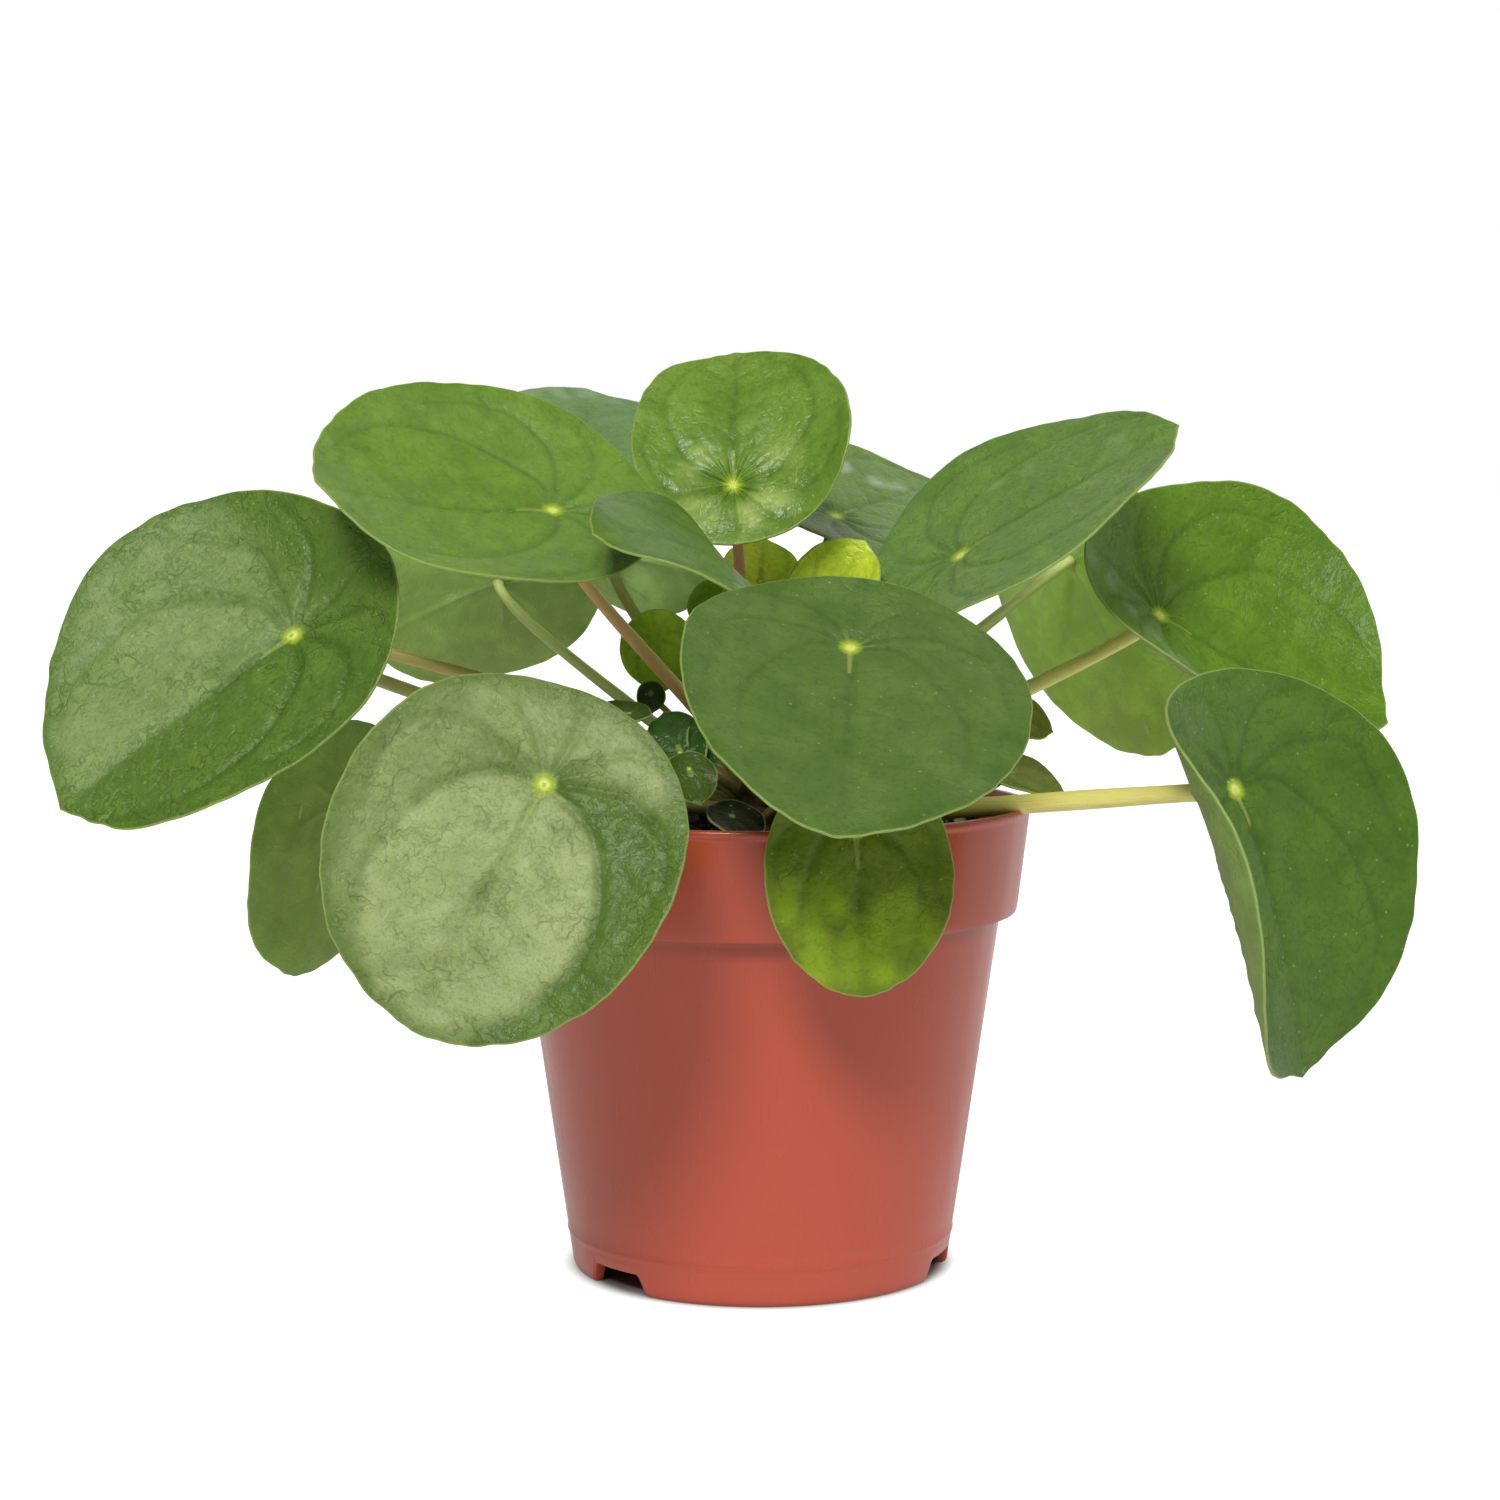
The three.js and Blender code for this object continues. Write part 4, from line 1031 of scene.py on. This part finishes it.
def cut_drains(pot):
    """Cuts the ring of round drain holes through the floor."""
    cutter_mesh = bpy.data.meshes.new("drain_cutter")
    build = bmesh.new()
    for k in range(DRAIN_COUNT):
        place = heading(360 * (k + 0.5) / DRAIN_COUNT) * DRAIN_CIRCLE
        made = bmesh.ops.create_cone(build, cap_ends=True, segments=32, radius1=DRAIN_RADIUS,
                                     radius2=DRAIN_RADIUS, depth=4 * MM)
        middle = (FLOOR_UNDERSIDE_Z + FLOOR_TOP_Z) / 2
        bmesh.ops.translate(build, verts=made["verts"], vec=(place[0], place[1], middle))
    build.to_mesh(cutter_mesh)
    build.free()
    cutter = new_object("drain_cutter", cutter_mesh)
    cut = pot.modifiers.new("drains", "BOOLEAN")
    cut.operation = "DIFFERENCE"
    cut.object = cutter
    cut.solver = "EXACT"
    bpy.context.view_layer.update()
    shaped = bpy.data.meshes.new_from_object(pot.evaluated_get(bpy.context.evaluated_depsgraph_get()))
    pot.modifiers.clear()
    pot.data = shaped
    bpy.data.objects.remove(cutter)


# Soil and stem
def peat_height(x, y):
    """The height of the soil's lumpy top."""
    lift = 0.72 * creases(x, y, 4 * MM, 6) - 0.6
    for key, (size, rise) in enumerate(PEAT_LUMPS, start=3):
        lift = lift + rise * (smooth_noise(x, y, size * MM, key) - 0.5)
    return SOIL_TOP_Z + lift * MM


def make_soil():
    """Crumbly peat: a lumpy top on a plain plug."""
    angles = circle(SOIL_SECTORS)
    rings = []
    for radius in SOIL_RADIUS * np.arange(1, SOIL_RINGS + 1) / SOIL_RINGS:
        flat = ring(radius, angles, 0)
        rings.append(ring(radius, angles, peat_height(flat[:, 0], flat[:, 1])))
    rings += [ring(radius, angles, z) for radius, z in SOIL_SKIRT]
    body = ring_body(rings, (0, 0, peat_height(0, 0)), (0, 0, SOIL_BOTTOM_Z), inside_out=True)
    soil = add_object("peat", [(*body, {})], [soil_material("potting_soil", (16, 12, 10), (36, 26, 20))])
    seat(soil, "soil")


def scattered(draw, inset):
    """A random place on the soil, no nearer to its edge than the inset."""
    radius = (SOIL_RADIUS - inset) * math.sqrt(draw.random())
    angle = draw.uniform(0, 2 * math.pi)
    return radius * math.sin(angle), -radius * math.cos(angle)


def make_litter():
    """The crumbs and fibres that lie on the peat."""
    draw = random.Random(4)
    crumbs = []
    for _ in range(CRUMB_COUNT):
        x, y = scattered(draw, 3 * MM)
        size = draw.choice(CRUMB_SIZES) * MM
        if math.hypot(x, y) >= STEM_RADIUS + size:
            crumbs.append(crumb(draw, (x, y, peat_height(x, y) + 0.2 * size), size))
    fibres = [fibre(draw, *scattered(draw, 8 * MM)) for _ in range(FIBRE_COUNT)]
    for name, parts, body, light in (
        ("peat_crumbs", crumbs, (20, 15, 12), (50, 37, 28)),
        ("peat_fibres", fibres, (70, 50, 34), (128, 98, 66)),
    ):
        seat(add_object(name, parts, [soil_material(name, body, light)]), None)


def crumb(draw, place, size):
    """A small irregular lump of peat."""
    build = bmesh.new()
    bmesh.ops.create_icosphere(build, subdivisions=1, radius=size)
    stretch = Vector((draw.uniform(0.6, 1.3), draw.uniform(0.6, 1.3), draw.uniform(0.45, 0.8)))
    key = draw.uniform(0, 50)
    points = []
    for vertex in build.verts:
        wave = math.sin(7 * vertex.co.x / size + key) * math.sin(6 * vertex.co.y / size + 2 * key)
        bumpy = 1 + 0.35 * wave
        points.append([place[k] + vertex.co[k] * stretch[k] * bumpy for k in range(3)])
    faces = [tuple(v.index for v in face.verts) for face in build.faces]
    build.free()
    return np.array(points), faces, {}


def fibre(draw, x, y):
    """A thin bent fibre lying on the peat."""
    length = draw.uniform(5, 17) * MM
    angle = draw.uniform(0, 2 * math.pi)
    bend = draw.uniform(-60, 60)
    steps = 9
    line = []
    for k in range(steps + 1):
        if math.hypot(x, y) > SOIL_RADIUS - 2 * MM:
            break
        lift = 0.25 * MM + 0.9 * MM * math.sin(math.pi * k / steps)
        line.append((x, y, peat_height(x, y) + lift))
        x += length / steps * math.sin(angle)
        y -= length / steps * math.cos(angle)
        angle += math.radians(bend) / steps
    radius = draw.uniform(0.12, 0.28) * MM
    radii = np.linspace(radius, 0.4 * radius, len(line))
    points, faces, _ = tube_mesh(np.array(line), radii, 6, 0)
    return points, faces, {}


def make_stem():
    """The short trunk, ringed by the scars of fallen leaves, with a bud at its tip."""
    sides = 40
    heights = np.linspace(STEM_FOOT_Z, STEM_TOP_Z, 60)
    angles = circle(sides)
    rings = []
    for z in heights:
        share = np.clip((z - STEM_NECK_Z) / (STEM_TOP_Z - STEM_NECK_Z), 0, 1)
        radius = STEM_RADIUS + (STEM_TOP_RADIUS - STEM_RADIUS) * share
        close = np.clip((STEM_TOP_Z - z) / (2.4 * MM), 0, 1)
        radius *= 0.35 + 0.65 * math.sqrt(1 - (1 - close) ** 2)
        scars = 0.35 * MM * np.sin(z / (0.55 * MM) + 1.6 * np.sin(2 * angles) + np.sin(angles))
        rough = 0.5 * MM * (smooth_noise(4 * angles, z / (1.2 * MM), 1, 8) - 0.5)
        rings.append(ring(radius + (scars + rough) * (0.3 + 0.7 * close) - 0.35 * MM, angles, z))
    body = ring_body(rings, (0, 0, heights[0]), (0, 0, STEM_TOP_Z + 0.2 * MM))
    stem = add_object("trunk", [(*body, {})], [bark_material()])
    seat(stem, "main_stem")


# Leaves
def make_leaves():
    """Each grown leaf's blade and stalk, fine versions of their CAD nodes."""
    for key, (name, row) in enumerate(LEAVES.items(), start=1):
        sectors = round(BLADE_SECTORS * row["detail"])
        rings = round(BLADE_RINGS * row["detail"])
        blade = blade_mesh(row, sectors, rings, THICKNESS, key)
        item = add_object(f"blade_{name}", [blade], [blade_material(f"blade_{name}", row)])
        seat(item, f"leaf_{name}")
        stalk = row["stalk"]
        tube = stalk_mesh(row, stalk_foot(stalk), THICKNESS, STALK_STEPS, STALK_SIDES)
        finish = stalk_material(f"petiole_{name}", stalk.upper, stalk.lower)
        seat(add_object(f"petiole_{name}", [tube], [finish]), f"stalk_{name}")


def make_young():
    """The young leaves, each one piece with its stalk."""
    for key, (name, hub, face, size, fold, way, color, spot) in enumerate(YOUNG, start=31):
        turn, height, bow = way
        stalk = Stalk(turn, height, 0.9, 0.7, bow, RED_BROWN, OLIVE)
        row = small_leaf(hub, face, (*size, 0.4), fold, (0, 0), 0, stalk, color, spot)
        parts = [blade_mesh(row, YOUNG_SECTORS, YOUNG_RINGS, YOUNG_THICKNESS, key),
                 stalk_mesh(row, stalk_foot(stalk), YOUNG_THICKNESS, 20, YOUNG_STALK_SIDES)]
        finishes = [blade_material(f"{name}_blade", row),
                    stalk_material(f"{name}_stalk", stalk.upper, stalk.lower)]
        seat(add_object(f"{name}_leaf", parts, finishes), name)


def make_plantlets():
    """The offsets beside the stem: a short rooted stem with a few small leaves."""
    stalk = Stalk(0, 0, 0.9, 0.7, 2, OLIVE, TAN)
    for key, (name, root, radius, height, leaves) in enumerate(PLANTLETS, start=41):
        base = np.array([*root, SOIL_TOP_Z / MM - PLANTLET_DEPTH]) * MM
        top = np.array([*root, SOIL_TOP_Z / MM + height]) * MM
        parts = []
        finishes = []
        stem_finish = stalk_material(f"{name}_stem", OLIVE, BROWN)
        for k, (hub, face, size, color) in enumerate(leaves):
            row = small_leaf(hub, face, (*size, 0.35), (14, 14), (-6, 0), 0.05, stalk, color, 0.2)
            start = base + (top - base) * (0.55 + 0.4 * k / len(leaves))
            parts.append(blade_mesh(row, YOUNG_SECTORS, PLANTLET_RINGS, YOUNG_THICKNESS, key * 10 + k))
            parts.append(stalk_mesh(row, start, YOUNG_THICKNESS, 16, YOUNG_STALK_SIDES))
            finishes += [blade_material(f"{name}_blade_{k}", row), stem_finish]
        line = np.linspace(base, top, 14)
        parts.append(tube_mesh(line, np.linspace(radius, 0.75 * radius, 14) * MM, 14, 0.05))
        finishes.append(stem_finish)
        seat(add_object(f"{name}_sprig", parts, finishes), name)


# Stage, light and camera
def make_stage():
    mesh = bpy.data.meshes.new("floor")
    side = FLOOR_HALF_WIDTH
    corners = [(-side, -side, 0), (side, -side, 0), (side, side, 0), (-side, side, 0)]
    mesh.from_pydata(corners, [], [(0, 1, 2, 3)])
    shader = new_material("pale_floor")
    white = (FLOOR_WHITE, FLOOR_WHITE, FLOOR_WHITE, 1)
    place = shader.object_place()
    away = shader.node("ShaderNodeVectorMath", {0: place}, operation="LENGTH").outputs["Value"]
    seen = shader.ramp(shader.camera_ray(), 0, 1, FLOOR_GLOW, FLOOR_SEEN_GLOW)
    glow = shader.times(shader.ramp(away, BASE_RADIUS - 3 * MM, BASE_RADIUS + 3 * MM), seen)
    mesh.materials.append(shader.finish(Base_Color=white, Roughness=0.9, IOR=1.2,
                                        Emission_Color=(1, 1, 1, 1), Emission_Strength=glow))
    new_object("floor", mesh)


def toward(bearing, height):
    """The direction at a bearing round from the front towards the right and a height, in degrees."""
    level = heading(bearing) * math.cos(math.radians(height))
    return Vector((level[0], level[1], math.sin(math.radians(height))))


def add_lamp(name, bearing, height, width, strength):
    lamp = bpy.data.lights.new(name, "SUN")
    lamp.energy = strength
    lamp.angle = math.radians(width)
    direction = toward(bearing, height)
    new_object(name, lamp).rotation_euler = direction.to_track_quat("Z", "Y").to_euler()


def make_room():
    """A dim white room with soft bright areas, which the camera sees as plain white."""
    world = bpy.data.worlds.new("studio")
    bpy.context.scene.world = world
    nodes = Nodes(world)
    direction = nodes.node("ShaderNodeTexCoord").outputs["Generated"]
    total = ROOM_BASE
    for bearing, strength in ROOM_LIGHTS:
        facing = nodes.node("ShaderNodeVectorMath", {0: direction, 1: toward(bearing, 0)},
                            operation="DOT_PRODUCT")
        total = nodes.op("ADD", nodes.ramp(facing.outputs["Value"], 0.35, 0.90, 0.0, strength), total)
    seen = nodes.node("ShaderNodeMix", {"Factor": nodes.camera_ray(), "A": total, "B": 1.0})
    background = world.node_tree.nodes["Background"]
    nodes.put(background.inputs["Color"], (1, 1, 1, 1))
    nodes.put(background.inputs["Strength"], seen.outputs["Result"])


def make_light():
    make_room()
    for lamp in LAMPS:
        add_lamp(*lamp)


def make_camera():
    data = bpy.data.cameras.new("camera")
    data.lens = CAMERA_LENS
    data.sensor_width = SENSOR_WIDTH
    data.clip_start = 0.05
    camera = new_object("camera", data)
    camera.location = CAMERA_PLACE
    camera.rotation_euler = (math.radians(90 - CAMERA_TILT), 0, math.radians(CAMERA_TURN))
    bpy.context.scene.camera = camera


bpy.context.scene.view_settings.view_transform = "Standard"
make_camera()
make_light()
make_stage()
make_pot()
make_soil()
make_litter()
make_stem()
make_leaves()
make_young()
make_plantlets()
